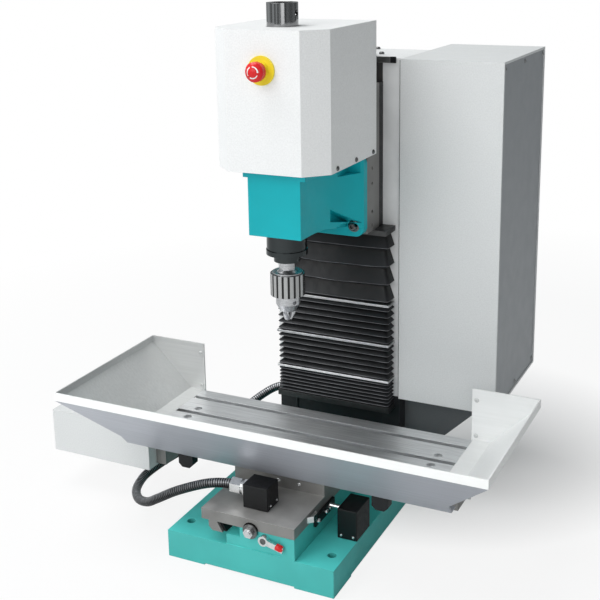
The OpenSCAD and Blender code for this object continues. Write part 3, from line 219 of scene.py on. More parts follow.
def rgba(colour):
    """A colour as a node takes it."""
    return colour if isinstance(colour, bpy.types.NodeSocket) else (*colour, 1)


def tint(tree, factor, first, second):
    """A colour between two colours."""
    mix = node(tree, "ShaderNodeMix", {0: factor, 6: rgba(first), 7: rgba(second)}, data_type="RGBA")
    return mix.outputs[2]


def scaled(tree, colour, share):
    """A colour made lighter or darker by a value."""
    product = node(tree, "ShaderNodeVectorMath", {0: colour, "Scale": share}, operation="SCALE")
    return product.outputs["Vector"]


def per_metre(mm):
    """The texture scale at which one feature measures this many millimetres."""
    return 1 / (mm * MM)


def mottle(tree, place, mm, low=0.0, high=1.0, detail=3.0):
    """A value between low and high that drifts with features of this many millimetres."""
    noise = node(tree, "ShaderNodeTexNoise", {"Vector": place, "Scale": per_metre(mm), "Detail": detail})
    return ramp(tree, noise.outputs["Fac"], 0.3, 0.7, low, high)


def streaks(tree, place, stretch, mm, low=0.0, high=1.0):
    """Fine lines: noise drawn out along the axis whose stretch is small."""
    drawn = node(tree, "ShaderNodeMapping", {"Vector": place, "Scale": stretch})
    return mottle(tree, drawn.outputs["Vector"], mm, low, high, 4.0)


def above(tree, place, metres):
    """One above a height in the frame, and zero below it."""
    return calc(tree, "GREATER_THAN", axes_of(tree, place)["Z"], metres)


def lit_top(tree, tone, share):
    """A colour made lighter by a share on the faces that look up: painted light on the tops."""
    normal = node(tree, "ShaderNodeNewGeometry").outputs["True Normal"]
    return scaled(tree, tone, ramp(tree, axes_of(tree, normal)["Z"], *UPWARD, 1.0, share))


def relief(tree, height, mm, strength, edge_mm=0.6):
    """A bump from a height, over edges that are rounded by eye."""
    edge = node(tree, "ShaderNodeBevel", {"Radius": edge_mm * MM}, samples=4)
    bump = node(tree, "ShaderNodeBump", {
        "Height": height, "Distance": mm * MM, "Strength": strength, "Normal": edge.outputs["Normal"]})
    return bump.outputs["Normal"]


def geometry_tree(name, **inputs):
    """An empty Geometry Nodes tree with a shape, the named inputs and a material, and what they give."""
    tree = bpy.data.node_groups.new(name, "GeometryNodeTree")
    for label, kind in {"Geometry": "Geometry", **inputs, "Material": "Material"}.items():
        tree.interface.new_socket(label, in_out="INPUT", socket_type="NodeSocket" + kind)
    tree.interface.new_socket("Geometry", in_out="OUTPUT", socket_type="NodeSocketGeometry")
    return tree, node(tree, "NodeGroupInput").outputs


def sent_out(tree, given, shape):
    """A tree that makes its shape real, gives it the material and sends it out."""
    real = node(tree, "GeometryNodeRealizeInstances", {"Geometry": shape})
    done = node(tree, "GeometryNodeSetMaterial", {
        "Geometry": real.outputs["Geometry"], "Material": given["Material"]})
    node(tree, "NodeGroupOutput", {"Geometry": done.outputs["Geometry"]})
    return tree


# Finishes

# The sleeve's flutes, and the depths under its skin over which their painted shade fades in
FLUTES = 18
FLUTE_FADE, FLUTE_FULL = 1.6 * MM, 1.2 * MM
# Height of the apron's rim band, painted lighter as a highlight, and the pitch of the cutter marks in
# millimetres
RIM = 11 * MM
CUTTER_MARK = 15
# Colours of the painted highlights on the bellows' hems and on the conduit's rib crowns
HEM_HIGHLIGHT = (0.34, 0.34, 0.36)
RIB_HIGHLIGHT = (0.45, 0.46, 0.48)
# How fine lines are drawn out: along X on sheet, along X on the table, evenly, and round an upright axis
ROLLED, GROUND, EVEN, TURNED = (0.02, 1, 1), (0.03, 1, 1), (1, 1, 1), (0.15, 0.15, 1)


def finish_of(name):
    """A new finish: its node tree and the Object coordinates."""
    material = bpy.data.materials.new(name)
    material.use_nodes = True
    tree = material.node_tree
    return tree, node(tree, "ShaderNodeTexCoord").outputs["Object"]


def shaded(colour, share):
    """A colour made darker or lighter by a share."""
    return [min(1.0, c * share) for c in colour]


def varied(tree, factor, colour, low, high):
    """A colour that varies between two shares of itself."""
    return tint(tree, factor, shaded(colour, low), shaded(colour, high))


def coat(tree, colour, rough, normal=None, metallic=0.0, shine=0.5):
    """Gives the shader of a finish its colour, roughness, relief, metal and shine."""
    inputs = {"Base Color": colour, "Roughness": rough, "Metallic": metallic, "Specular IOR Level": shine}
    if normal is not None:
        inputs["Normal"] = normal
    return fill(tree, tree.nodes["Principled BSDF"], inputs)


def cast_enamel(name, colour, top):
    """Enamel sprayed on cast iron: painted light on top, and a faint orange peel from the casting below."""
    tree, place = finish_of(name)
    tone = varied(tree, mottle(tree, place, 60), colour, 0.93, 1.05)
    peel = mottle(tree, place, 3.5, detail=1.0)
    coat(tree, lit_top(tree, tone, top), mottle(tree, place, 9, 0.34, 0.44),
         relief(tree, peel, 0.05, 0.25, 1.0), shine=0.3)


def powder_coat(name, colour, grain_mm, depth, rough):
    """Powder-coated sheet steel: even colour, and a fine grain that breaks up the highlights."""
    tree, place = finish_of(name)
    speck = mottle(tree, place, grain_mm)
    tone = varied(tree, speck, colour, 0.94, 1.03)
    coat(tree, tone, mottle(tree, place, 25, rough - 0.05, rough + 0.05),
         relief(tree, speck, depth, 0.5))


def satin_sheet(name, colour, metallic, lip, lip_foot):
    """Rolled sheet in satin lacquer, lines along X, and a lip above a height: on the apron a painted
    highlight.
    """
    tree, place = finish_of(name)
    roll = streaks(tree, place, ROLLED, 3)
    cloud = calc(tree, "MULTIPLY", roll, mottle(tree, place, 120))
    face = varied(tree, cloud, colour, 0.92, 1.06)
    edge = above(tree, place, lip_foot)
    coat(tree, tint(tree, edge, face, lip), streaks(tree, place, ROLLED, 2, 0.32, 0.46),
         relief(tree, roll, 0.02, 0.3), between(tree, edge, metallic, 0.1))


def ground_steel(name, colour, stretch, low, high):
    """Surface-ground or turned steel: bright metal with fine lines along the tool's path."""
    tree, place = finish_of(name)
    lines = streaks(tree, place, stretch, 1.4)
    tone = varied(tree, lines, colour, 0.82, 1.08)
    coat(tree, tone, streaks(tree, place, stretch, 0.9, low, high),
         relief(tree, lines, 0.015, 0.35, 0.4), metallic=1.0)


def turned_spindle(name, dark, bright):
    """Turned steel: an oil-blackened nose below, and a bright drawbar tube above the cover."""
    tree, place = finish_of(name)
    lines = streaks(tree, place, TURNED, 1.4, 0.97, 1.03)
    tone = tint(tree, above(tree, place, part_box("head_cover")[0].z), dark, bright)
    coat(tree, scaled(tree, tone, lines), streaks(tree, place, TURNED, 0.9, 0.07, 0.13),
         relief(tree, lines, 0.004, 0.1, 0.5), metallic=1.0)


def machined_iron(name, colour, top):
    """Milled grey iron: dull metal, cloudy with oil, painted light on top, and cutter marks across it."""
    tree, place = finish_of(name)
    marks = per_metre(CUTTER_MARK) * 2 * math.pi / WAVE_UNIT
    cutter = node(tree, "ShaderNodeTexWave", {
        "Vector": place, "Scale": marks, "Distortion": 1.5, "Detail": 2}, bands_direction="Y")
    tone = varied(tree, mottle(tree, place, 28), colour, 0.8, 1.1)
    coat(tree, lit_top(tree, tone, top), mottle(tree, place, 14, 0.36, 0.52),
         relief(tree, cutter.outputs["Fac"], 0.03, 0.3), metallic=0.45)


def dark_foot(name, foot, upper, metres, metallic):
    """Scraped iron or sheet that is dark up to a height, and in another colour above it."""
    tree, place = finish_of(name)
    tone = tint(tree, above(tree, place, metres), foot, upper)
    worn = scaled(tree, tone, mottle(tree, place, 30, 0.95, 1.04))
    coat(tree, worn, mottle(tree, place, 14, 0.4, 0.52),
         relief(tree, mottle(tree, place, 2), 0.04, 0.3), metallic=metallic)


def fluted_chrome(colour):
    """Chromed chuck sleeve: bright lands, and flutes darkened with painted shade."""
    tree, place = finish_of("fluted_chrome")
    low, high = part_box("chuck_sleeve")
    inward = node(tree, "ShaderNodeVectorMath", {0: place, 1: (low + high) / 2}, operation="SUBTRACT")
    across = axes_of(tree, inward.outputs["Vector"])
    turn = calc(tree, "ARCTAN2", across["Y"], across["X"])
    wave = calc(tree, "COSINE", calc(tree, "MULTIPLY", turn, FLUTES))
    level = node(tree, "ShaderNodeCombineXYZ", {"X": across["X"], "Y": across["Y"]}).outputs["Vector"]
    radius = node(tree, "ShaderNodeVectorMath", {0: level}, operation="LENGTH").outputs["Value"]
    skin = ramp(tree, radius, high.x - FLUTE_FADE, high.x - FLUTE_FULL)
    # Painted shade in the flutes, fading in under the skin
    flute_shade = calc(tree, "MULTIPLY", ramp(tree, wave, 0.15, 0.6), skin)
    coat(tree, tint(tree, flute_shade, colour, shaded(colour, 0.09)), mottle(tree, place, 4, 0.14, 0.24),
         relief(tree, mottle(tree, place, 3), 0.01, 0.2, 0.3), metallic=1.0)


def moulded(name, colour, rough, grain_mm=1.2, depth=0.05):
    """Moulded plastic or rubber: even colour, and a fine spark-eroded grain."""
    tree, place = finish_of(name)
    tone = varied(tree, mottle(tree, place, 20), colour, 0.9, 1.1)
    grain = mottle(tree, place, grain_mm)
    coat(tree, tone, mottle(tree, place, 6, rough - 0.06, rough + 0.06),
         relief(tree, grain, depth, 0.4), shine=0.3)


def plated(name, colour, low, high):
    """Nickel-plated steel: bright and smooth, with slight handling haze."""
    tree, place = finish_of(name)
    haze = mottle(tree, place, 7)
    tone = varied(tree, haze, colour, 0.9, 1.05)
    coat(tree, tone, mottle(tree, place, 5, low, high), relief(tree, haze, 0.01, 0.2, 0.3), metallic=1.0)


def coated_cloth(colour):
    """Coated polyester: near black, painted shade in the folds, painted highlights along the hems, the weave
    just showing.
    """
    tree, place = finish_of("coated_cloth")
    hem = node(tree, "ShaderNodeAttribute", attribute_name="hem").outputs["Fac"]
    fold_shading = calc(tree, "MULTIPLY", ramp(tree, hem, 0.0, 0.6, 0.25, 2.2), mottle(tree, place, 18, 0.8, 1.2))
    hem_highlight = calc(tree, "MULTIPLY", ramp(tree, hem, 0.62, 1.0), mottle(tree, place, 26, 0.25, 1))
    tone = tint(tree, hem_highlight, scaled(tree, colour, fold_shading), HEM_HIGHLIGHT)
    weave = node(tree, "ShaderNodeTexChecker", {"Vector": place, "Scale": per_metre(1.6)}).outputs["Fac"]
    coat(tree, tone, mottle(tree, place, 9, 0.42, 0.56), relief(tree, weave, 0.05, 0.25, 0.2), shine=0.35)


def ribbed_steel(colour):
    """Wound steel conduit with a black lacquer, and a painted highlight on the upper crowns of its ribs."""
    tree, place = finish_of("ribbed_steel")
    crown = node(tree, "ShaderNodeAttribute", attribute_name="crown").outputs["Fac"]
    normal = node(tree, "ShaderNodeNewGeometry").outputs["Normal"]
    # Painted highlight on the crowns that face up
    top = ramp(tree, axes_of(tree, normal)["Z"], -0.1, 0.8, 0.15, 1.0)
    upward_share = calc(tree, "MULTIPLY", top, mottle(tree, place, 5, 0.5, 1))
    crown_highlight = calc(tree, "MULTIPLY", crown, upward_share)
    coat(tree, tint(tree, crown_highlight, shaded(colour, 0.5), RIB_HIGHLIGHT), mottle(tree, place, 4, 0.28, 0.42),
         metallic=0.8)


# Settings that a user would change


class MillColours(bpy.types.PropertyGroup):
    """Colours of the machine's finishes."""

    enamel: hex_colour("Enamel", "Paint of the castings", "#04b0ba")
    # The base's enamel is the castings' teal made lighter, as painted light bounced from the floor
    base_enamel: hex_colour("Base enamel", "Paint of the base, a lighter batch", "#4bb9b4")
    cover: hex_colour("Covers", "Powder coat of the head and motor covers", "#f0f1f1")
    cabinet: hex_colour("Cabinet", "Powder coat of the cabinet's front and the column strips", "#dcdede")
    side: hex_colour("Cabinet side", "Powder coat of the cabinet's side panel", "#989ca0")
    tray: hex_colour("Tray", "Satin sheet of the chip tray", "#e6e7e6")
    # The apron's colour is the tray's sheet made darker, painted shade on a face that looks down and forward
    apron: hex_colour("Apron", "Rolled sheet of the tray's front", "#b4b7bf")
    iron: hex_colour("Iron", "Machined grey iron", "#8b8a88")
    steel: hex_colour("Steel", "Ground table and screws", "#d6d7d8")
    chuck: hex_colour("Chuck", "Turned chuck steel", "#c4c5c7")
    spindle: hex_colour("Spindle", "Blackened spindle nose", "#3f4344")
    nickel: hex_colour("Nickel", "Plated screws, glands and strips", "#dcdddd")
    black: hex_colour("Black", "Plastics, oxide and bellows", "#131416")
    red: hex_colour("Red", "Stop button and lever tip", "#d62427")
    yellow: hex_colour("Yellow", "Stop button's plate", "#f5de34")


class MillSizes(bpy.types.PropertyGroup):
    """Sizes of the pieces that are modelled here."""

    conduit: length("Conduit", "Outer diameter of the cable conduit", 12 * MM)
    rib: length("Rib pitch", "Distance from rib to rib on the conduit", 3.2 * MM)
    groove: length("Groove", "Depth of the conduit's grooves", 0.9 * MM)
    sag: length("Sag", "How far the wide folds hang down in the middle", 3 * MM)
    strip: length("Strip", "Height of the bright strips across the bellows", 3.2 * MM)
    cloth: length("Cloth", "Thickness of the bellows' cloth", 0.9 * MM)
    floor: length("Floor", "Radius of the floor disc", 6.0)


def sizes():
    """The size settings."""
    return bpy.context.scene.mill_sizes


def finish(name):
    """A finish that the finishes operator has made."""
    return bpy.data.materials[name]


# CAD nodes that keep their shape, by finish
NODE_FINISH = {
    "cast_enamel": ["head_casting"],
    "base_enamel": ["base_casting"],
    "white_coat": ["head_cover", "column_top_cover"],
    "column_coat": ["column_cover"],
    "column_iron": ["column"],
    "cabinet_coat": ["cabinet_shell", "x_motor_cover"],
    "side_coat": ["cabinet_side_panel"],
    "dark_coat": ["cabinet_bracket"],
    "tray_sheet": ["tray_left"],
    "rubbed_sheet": ["tray_right"],
    "apron_sheet": ["tray_front"],
    "milled_iron": ["saddle", "z_slide_plate", "x_screw_blocks"],
    "table_steel": ["table"],
    "screw_steel": ["y_screw", "x_screw", "z_screw", "ball_nuts", "z_nut", "motor_pulley",
                    "spindle_bearings"],
    "fluted_chrome": ["chuck_sleeve"],
    "turned_chuck": ["chuck_body", "chuck_jaw_1", "chuck_jaw_2", "chuck_jaw_3"],
    "spindle_steel": ["spindle"],
    "nickel": ["lock_lever", "cable_gland", "switch_gland", "y_trip_dog", "y_plunger", "x_plunger",
               "estop_stem"],
    "black_screw": ["y_front_bearing"],
    "black_oxide": ["motor_drives", "feed_motors", "x_motor", "spindle_motor", "z_keeper_bars", "x_trip_dogs",
                    "y_gib"],
    "blued_plate": ["bellows_bottom_plate", "bellows_bracket"],
    "belt_rubber": ["drive_belt"],
    "stop_red": ["estop_knob"],
    "stop_yellow": ["estop_base"],
}


class MILL_OT_finishes(bpy.types.Operator):
    """Make every finish and put it on the CAD nodes that keep their shape"""

    bl_idname = "mill.finishes"
    bl_label = "Finishes"

    def execute(self, context):
        paint = context.scene.mill_colours
        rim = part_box("tray_front")[1].z
        cover_foot, way_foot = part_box("cabinet_shell")[0].z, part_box("bellows")[0].z
        # The last number of the enamels and of the milled iron is how much lighter their tops are painted, as
        # painted light
        cast_enamel("cast_enamel", paint.enamel, 1.0)
        cast_enamel("base_enamel", paint.base_enamel, 1.6)
        powder_coat("white_coat", paint.cover, 1.8, 0.10, 0.5)
        powder_coat("cabinet_coat", paint.cabinet, 1.6, 0.05, 0.42)
        powder_coat("side_coat", paint.side, 1.6, 0.05, 0.42)
        # The cabinet's bracket is the side coat at 0.3, painted shade under the cabinet
        powder_coat("dark_coat", shaded(paint.side, 0.3), 1.6, 0.05, 0.5)
        satin_sheet("tray_sheet", shaded(paint.tray, 0.92), 0.45, paint.tray, rim)
        # The right end of the tray is the same sheet made 1.22 times lighter, a painted reflection of the
        # light from the left
        satin_sheet("rubbed_sheet", shaded(paint.tray, 1.22), 0.05, paint.tray, rim)
        # The apron is darker as painted shade, and its rim band is 1.25 times the tray's colour as a painted
        # highlight
        satin_sheet("apron_sheet", paint.apron, 0.4, shaded(paint.tray, 1.25), rim - RIM)
        machined_iron("milled_iron", paint.iron, 2.1)
        # Painted shade: the column's cover is dark below the cabinet; above, the covers' white is painted
        # light against the head's shadow
        dark_foot("column_coat", shaded(paint.black, 1.6), paint.cover, cover_foot, 0.0)
        # The column iron above the bellows' foot is darkened to 0.35 as painted shade in the gap beside the
        # cover, and darker still below
        dark_foot("column_iron", shaded(paint.black, 2.2), shaded(paint.iron, 0.35), way_foot, 0.3)
        fluted_chrome(shaded(paint.nickel, 0.62))
        plated("blued_plate", shaded(paint.nickel, 0.13), 0.36, 0.5)
        # The table is the screws' steel made 1.25 times lighter, as painted light
        ground_steel("table_steel", shaded(paint.steel, 1.25), GROUND, 0.36, 0.5)
        ground_steel("screw_steel", paint.steel, EVEN, 0.24, 0.36)
        ground_steel("turned_chuck", paint.chuck, TURNED, 0.24, 0.36)
        turned_spindle("spindle_steel", paint.spindle, shaded(paint.steel, 0.36))
        plated("nickel", paint.nickel, 0.16, 0.28)
        plated("strip_metal", shaded(paint.nickel, 0.85), 0.3, 0.42)
        plated("black_screw", shaded(paint.nickel, 0.22), 0.22, 0.36)
        plated("dull_zinc", shaded(paint.nickel, 0.5), 0.3, 0.45)
        moulded("black_oxide", shaded(paint.black, 1.2), 0.42, 2.0, 0.03)
        moulded("switch_plastic", shaded(paint.black, 0.7), 0.4)
        moulded("belt_rubber", paint.black, 0.7)
        moulded("stop_red", paint.red, 0.25, 3.0, 0.01)
        moulded("stop_yellow", paint.yellow, 0.35, 3.0, 0.01)
        moulded("mark_white", paint.cover, 0.4, 3.0, 0.01)
        coated_cloth(paint.black)
        ribbed_steel(paint.black)
        for name, nodes in NODE_FINISH.items():
            for part in nodes:
                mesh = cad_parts[part].data
                mesh.materials.clear()
                mesh.materials.append(finish(name))
        return {"FINISHED"}


# Stage

# The camera that was fitted to the photo
EYE = Vector((0.5839, -1.2350, 0.7559))
TURN, PITCH, ROLL = 0.4544, 0.2448, -0.0168
LENS, SENSOR, SHIFT = 65.59, 36.0, -0.15
# Each light's place, width and power
LIGHTS = {
    "key": ((-0.7, -2.5, 1.6), 1.8, 29),
    "upper_left": ((-0.9, -0.3, 2.5), 1.5, 36),
    "right_fill": ((1.2, -2.3, 1.0), 1.2, 8),
}
AIM = Vector((0.0, 0.0, 0.35))
# The room's light from the left and from the right, and how its panels vary in a mirror
ROOM_LIGHT = (0.56, 0.18)
PANEL_LIGHT = (0.5, 1.7)
ROOM_TINT, WHITE = (0.94, 0.985, 1.0), (1.0, 1.0, 1.0)
FLOOR_SIDES = 96
# Distances from the cabinet's far corner over which the floor whitens, and how white it gets
NEAR_FLOOR, NEAR_WHITE = (0.10, 0.34), (0.1, 0.86)
FAR_FLOOR, FAR_WHITE = (0.7, 1.3), (0.0, 0.14)


class MILL_OT_stage(bpy.types.Operator):
    """Make the pale floor, the soft lights, the white world and the photo's camera"""

    bl_idname = "mill.stage"
    bl_label = "Stage"

    def execute(self, context):
        scene = context.scene
        scene.view_settings.view_transform = "Standard"
        self.make_world(scene)
        self.make_floor()
        for name, (spot, size, power) in LIGHTS.items():
            lamp = bpy.data.lights.new(name, "AREA")
            lamp.size, lamp.energy = size, power
            made = add_object(name, lamp)
            made.location = spot
            made.rotation_euler = (AIM - Vector(spot)).to_track_quat("-Z", "Y").to_euler()
        self.make_camera(scene)
        return {"FINISHED"}

    def make_world(self, scene):
        """A room that is brighter on the left, with panels in its mirror image, and white to the camera"""
        world = bpy.data.worlds.new("white_room")
        world.use_nodes = True
        tree = world.node_tree
        tree.nodes.clear()
        way = node(tree, "ShaderNodeTexCoord").outputs["Generated"]
        path = node(tree, "ShaderNodeLightPath").outputs
        room = ramp(tree, axes_of(tree, way)["X"], -1.0, 1.0, *ROOM_LIGHT)
        boxes = node(tree, "ShaderNodeTexWave", {"Vector": way, "Scale": 0.8, "Phase Offset": 1.2})
        mirror = calc(tree, "MULTIPLY", room, ramp(tree, boxes.outputs["Fac"], 0.0, 1.0, *PANEL_LIGHT))
        lit = between(tree, path["Is Glossy Ray"], room, mirror)
        seen = calc(tree, "MAXIMUM", path["Is Camera Ray"], path["Is Transmission Ray"])
        sky = node(tree, "ShaderNodeBackground", {
            "Color": tint(tree, seen, ROOM_TINT, WHITE), "Strength": between(tree, seen, lit, 1.0)})
        node(tree, "ShaderNodeOutputWorld", {"Surface": sky.outputs["Background"]})
        scene.world = world

    def make_floor(self):
        """A pale disc that whitens away from the cabinet, as the photo's ground does"""
        tree, place = finish_of("pale_floor")
        shade = mottle(tree, place, 900)
        shader = coat(tree, tint(tree, shade, linear("#ececec"), linear("#f1f1f1")), 0.9, shine=0.1)
        seen = node(tree, "ShaderNodeLightPath").outputs["Is Camera Ray"]
        low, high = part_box("cabinet_shell")
        under = Vector((low.x, high.y, 0))
        away = node(tree, "ShaderNodeVectorMath", {0: place, 1: under}, operation="DISTANCE").outputs["Value"]
        near = ramp(tree, away, *NEAR_FLOOR, *NEAR_WHITE)
        far = ramp(tree, away, *FAR_FLOOR, *FAR_WHITE)
        share = calc(tree, "MULTIPLY", seen, calc(tree, "ADD", near, far))
        glow = node(tree, "ShaderNodeEmission", {"Color": rgba(WHITE), "Strength": 1.0}).outputs["Emission"]
        mix = node(tree, "ShaderNodeMixShader", {0: share, 1: shader.outputs["BSDF"], 2: glow})
        tree.links.new(mix.outputs["Shader"], tree.nodes["Material Output"].inputs["Surface"])
        shape = bmesh.new()
        bmesh.ops.create_circle(shape, cap_ends=True, radius=sizes().floor, segments=FLOOR_SIDES)
        floor = object_from("floor", shape, "pale_floor")

    def make_camera(self, scene):
        """The camera at its fitted place"""
        level = Vector((-math.sin(TURN), math.cos(TURN), 0))
        ahead = level * math.cos(PITCH) - Vector((0, 0, math.sin(PITCH)))
        side = Vector((math.cos(TURN), math.sin(TURN), 0))
        up = side.cross(ahead)
        right = side * math.cos(ROLL) + up * math.sin(ROLL)
        top = up * math.cos(ROLL) - side * math.sin(ROLL)
        data = bpy.data.cameras.new("photo_camera")
        data.lens, data.sensor_width, data.shift_y = LENS, SENSOR, SHIFT
        camera = add_object("photo_camera", data)
        camera.matrix_world = Matrix((
            (right.x, top.x, -ahead.x, EYE.x),
            (right.y, top.y, -ahead.y, EYE.y),
            (right.z, top.z, -ahead.z, EYE.z),
            (0, 0, 0, 1)))
        scene.camera = camera


# Cable

RIB_STEPS = 6.0
TUBE_SIDES = 18
ROUTE_STEPS = 6
# The route of part.scad, in millimetres from the two glands' feet
LOOP_FRONT = [(-4, 0, 0), (-28, 0, 0), (-58, -4, -5), (-100, -6, -23), (-133, -3, -43), (-155, 5, -57),
              (-178, 18, -64), (-195, 38, -64), (-202, 63, -61), (-202, 83, -59)]
LOOP_BACK = [(-125, -195, -57), (-122, -165, -58), (-116, -135, -58), (-108, -105, -56), (-98, -75, -50),
             (-83, -45, -36), (-63, -20, -18), (-43, -5, -5), (-23, 0, 0), (-4, 0, 0)]


def gland_foot(gland):
    """The point where a gland sits on its box, on its own axis."""
    low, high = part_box(gland)
    return Vector((high.x, (low.y + high.y) / 2, (low.z + high.z) / 2))


def cable_route():
    """The listed points of the route, in metres."""
    front, back = gland_foot("switch_gland"), gland_foot("cable_gland")
    return [front + Vector(p) * MM for p in LOOP_FRONT] + [back + Vector(p) * MM for p in LOOP_BACK]


def smooth_path(points, steps):
    """A smooth line through the points, with a number of steps in each stretch."""
    ends = [points[0] * 2 - points[1]] + points + [points[-1] * 2 - points[-2]]
    line = []
    for i in range(1, len(ends) - 2):
        a, b, c, d = ends[i - 1:i + 3]
        for k in range(steps):
            t = k / steps
            line.append(0.5 * (2 * b + (c - a) * t + (2 * a - 5 * b + 4 * c - d) * t ** 2
                               + (3 * b - a - 3 * c + d) * t ** 3))
    return line + [points[-1]]


def conduit_tree():
    """Geometry Nodes: a tube along a curve, grooved at an even pitch, with its crowns marked."""
    tree, given = geometry_tree("ribbed_tube", Radius="Float", Pitch="Float", Groove="Float")
    step = calc(tree, "DIVIDE", given["Pitch"], RIB_STEPS)
    line = node(tree, "GeometryNodeResampleCurve", {
        "Curve": given["Geometry"], "Length": step}, mode="LENGTH")
    along = node(tree, "GeometryNodeSplineParameter").outputs["Length"]
    turns = calc(tree, "DIVIDE", along, given["Pitch"])
    crown = ramp(tree, calc(tree, "COSINE", calc(tree, "MULTIPLY", turns, 2 * math.pi)), -0.6, 0.6)
    depth = calc(tree, "DIVIDE", given["Groove"], given["Radius"])
    share = ramp(tree, crown, 0.0, 1.0, calc(tree, "SUBTRACT", 1.0, depth), 1.0)
    sized = node(tree, "GeometryNodeSetCurveRadius", {"Curve": line.outputs["Curve"], "Radius": share})
    marked = node(tree, "GeometryNodeStoreNamedAttribute", {
        "Geometry": sized.outputs["Curve"], "Name": "crown", "Value": crown},
        data_type="FLOAT", domain="POINT")
    ring = node(tree, "GeometryNodeCurvePrimitiveCircle", {
        "Resolution": TUBE_SIDES, "Radius": given["Radius"]})
    tube = node(tree, "GeometryNodeCurveToMesh", {
        "Curve": marked.outputs["Geometry"], "Profile Curve": ring.outputs["Curve"], "Fill Caps": True})
    smooth = node(tree, "GeometryNodeSetShadeSmooth", {"Geometry": tube.outputs["Mesh"]})
    return sent_out(tree, given, smooth.outputs["Geometry"])


def set_inputs(modifier, values):
    """Sets a Geometry Nodes modifier's inputs, each by its socket's identifier."""
    for item in modifier.node_group.interface.items_tree:
        if item.item_type == "SOCKET" and item.in_out == "INPUT" and item.name in values:
            modifier[item.identifier] = values[item.name]


class MILL_OT_conduit(bpy.types.Operator):
    """Make the ribbed cable from the X switch to the column"""

    bl_idname = "mill.conduit"
    bl_label = "Cable conduit"

    def execute(self, context):
        line = smooth_path(cable_route(), ROUTE_STEPS)
        data = bpy.data.curves.new("conduit_line", "CURVE")
        data.dimensions = "3D"
        spline = data.splines.new("POLY")
        spline.points.add(len(line) - 1)
        for point, place in zip(spline.points, line):
            point.co = (*place, 1)
        piece = add_object("conduit_line", data)
        modifier = piece.modifiers.new("ribs", "NODES")
        modifier.node_group = conduit_tree()
        set_inputs(modifier, {"Radius": sizes().conduit / 2, "Pitch": sizes().rib, "Groove": sizes().groove,
                              "Material": finish("ribbed_steel")})
        piece = bake(piece)
        piece.name = "cable_conduit"
        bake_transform(piece)
        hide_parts("conduit")
        return {"FINISHED"}


# Bellows

# Heights of the strips as shares of the bellows, and the folds between them from the foot up
STRIP_SHARES = (0.152, 0.362, 0.593)
FOLD_COUNTS = (7, 6, 6, 4)
FOLD_DEPTH = 7 * MM
HEM = 1.0 * MM
STRIP_GAP = 1.2 * MM
STRIP_EDGE = 0.4 * MM
CORNER = 4 * MM
CORNER_TURNS = (22.5, 45, 67.5)
SIDE_STEPS, FRONT_STEPS = 3, 24
CREASE = math.radians(40)
# The ripple along a hanging fold: its height, its turn from middle to side, and its shift at each fold
RIPPLE, RIPPLE_TURN, RIPPLE_SHIFT = 0.4 * MM, 7, 1.7
# How freely the tight folds hang, and the root of a fold beside its hem
TIGHT_SHARE, ROOT_SHARE = 0.15, 0.5
# A fold's rise to its hem as a share of its pitch, in the wide folds and in the tight ones
WIDE_RISE_SHARE, TIGHT_RISE_SHARE = 0.2, 0.32
# A hem's half height at most as a share of the pitch, and how far its two edges stand out
HEM_SHARE, NECK_SHARE = 0.12, 0.95
# A fold's levels, and how much its levels under and over the hem look like the hem
LEVELS_A_FOLD = 4
UNDER_HEM, OVER_HEM = 0.7, 0.6


def bellows_plan(out):
    """The bellows' outline from above at one level, from the right back corner round the front."""
    low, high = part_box("bellows")
    half = high.x - FOLD_DEPTH + out
    front = low.y + FOLD_DEPTH - out
    side = (high.y - front - CORNER) / SIDE_STEPS
    plan = [Vector((half, high.y - k * side)) for k in range(SIDE_STEPS + 1)]
    for turn in (math.radians(degrees) for degrees in CORNER_TURNS):
        plan.append(Vector((half - CORNER * (1 - math.cos(turn)), front + CORNER * (1 - math.sin(turn)))))
    mirrored = [Vector((-p.x, p.y)) for p in reversed(plan)]
    straight = [Vector(((half - CORNER) * (1 - 2 * k / FRONT_STEPS), front)) for k in range(FRONT_STEPS + 1)]
    return plan + straight + mirrored


def fold_levels():
    """Each level as its height, how far it stands out, how freely it hangs and how near a hem it is."""
    low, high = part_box("bellows")
    tall = high.z - low.z
    marks = [0.0, *STRIP_SHARES, 1.0]
    levels = []
    for field, count in enumerate(FOLD_COUNTS):
        wide = field == len(FOLD_COUNTS) - 1
        foot = low.z + tall * marks[field] + (STRIP_GAP if field else 0)
        head = low.z + tall * marks[field + 1] - (0 if wide else STRIP_GAP)
        pitch = (head - foot) / count
        rise = pitch * (WIDE_RISE_SHARE if wide else TIGHT_RISE_SHARE)
        hem, neck = min(HEM / 2, pitch * HEM_SHARE), FOLD_DEPTH * NECK_SHARE
        for k in range(count):
            free = (1.0 if wide else TIGHT_SHARE) * math.sin(math.pi * (k + 0.5) / count)
            z = foot + k * pitch
            levels += [(z, 0.0, free * ROOT_SHARE if k else 0, 0.0), (z + rise - hem, neck, free, UNDER_HEM),
                       (z + rise, FOLD_DEPTH, free, 1.0), (z + rise + hem, neck, free, OVER_HEM)]
        levels.append((head, 0.0, 0.0, 0.0))
    return levels


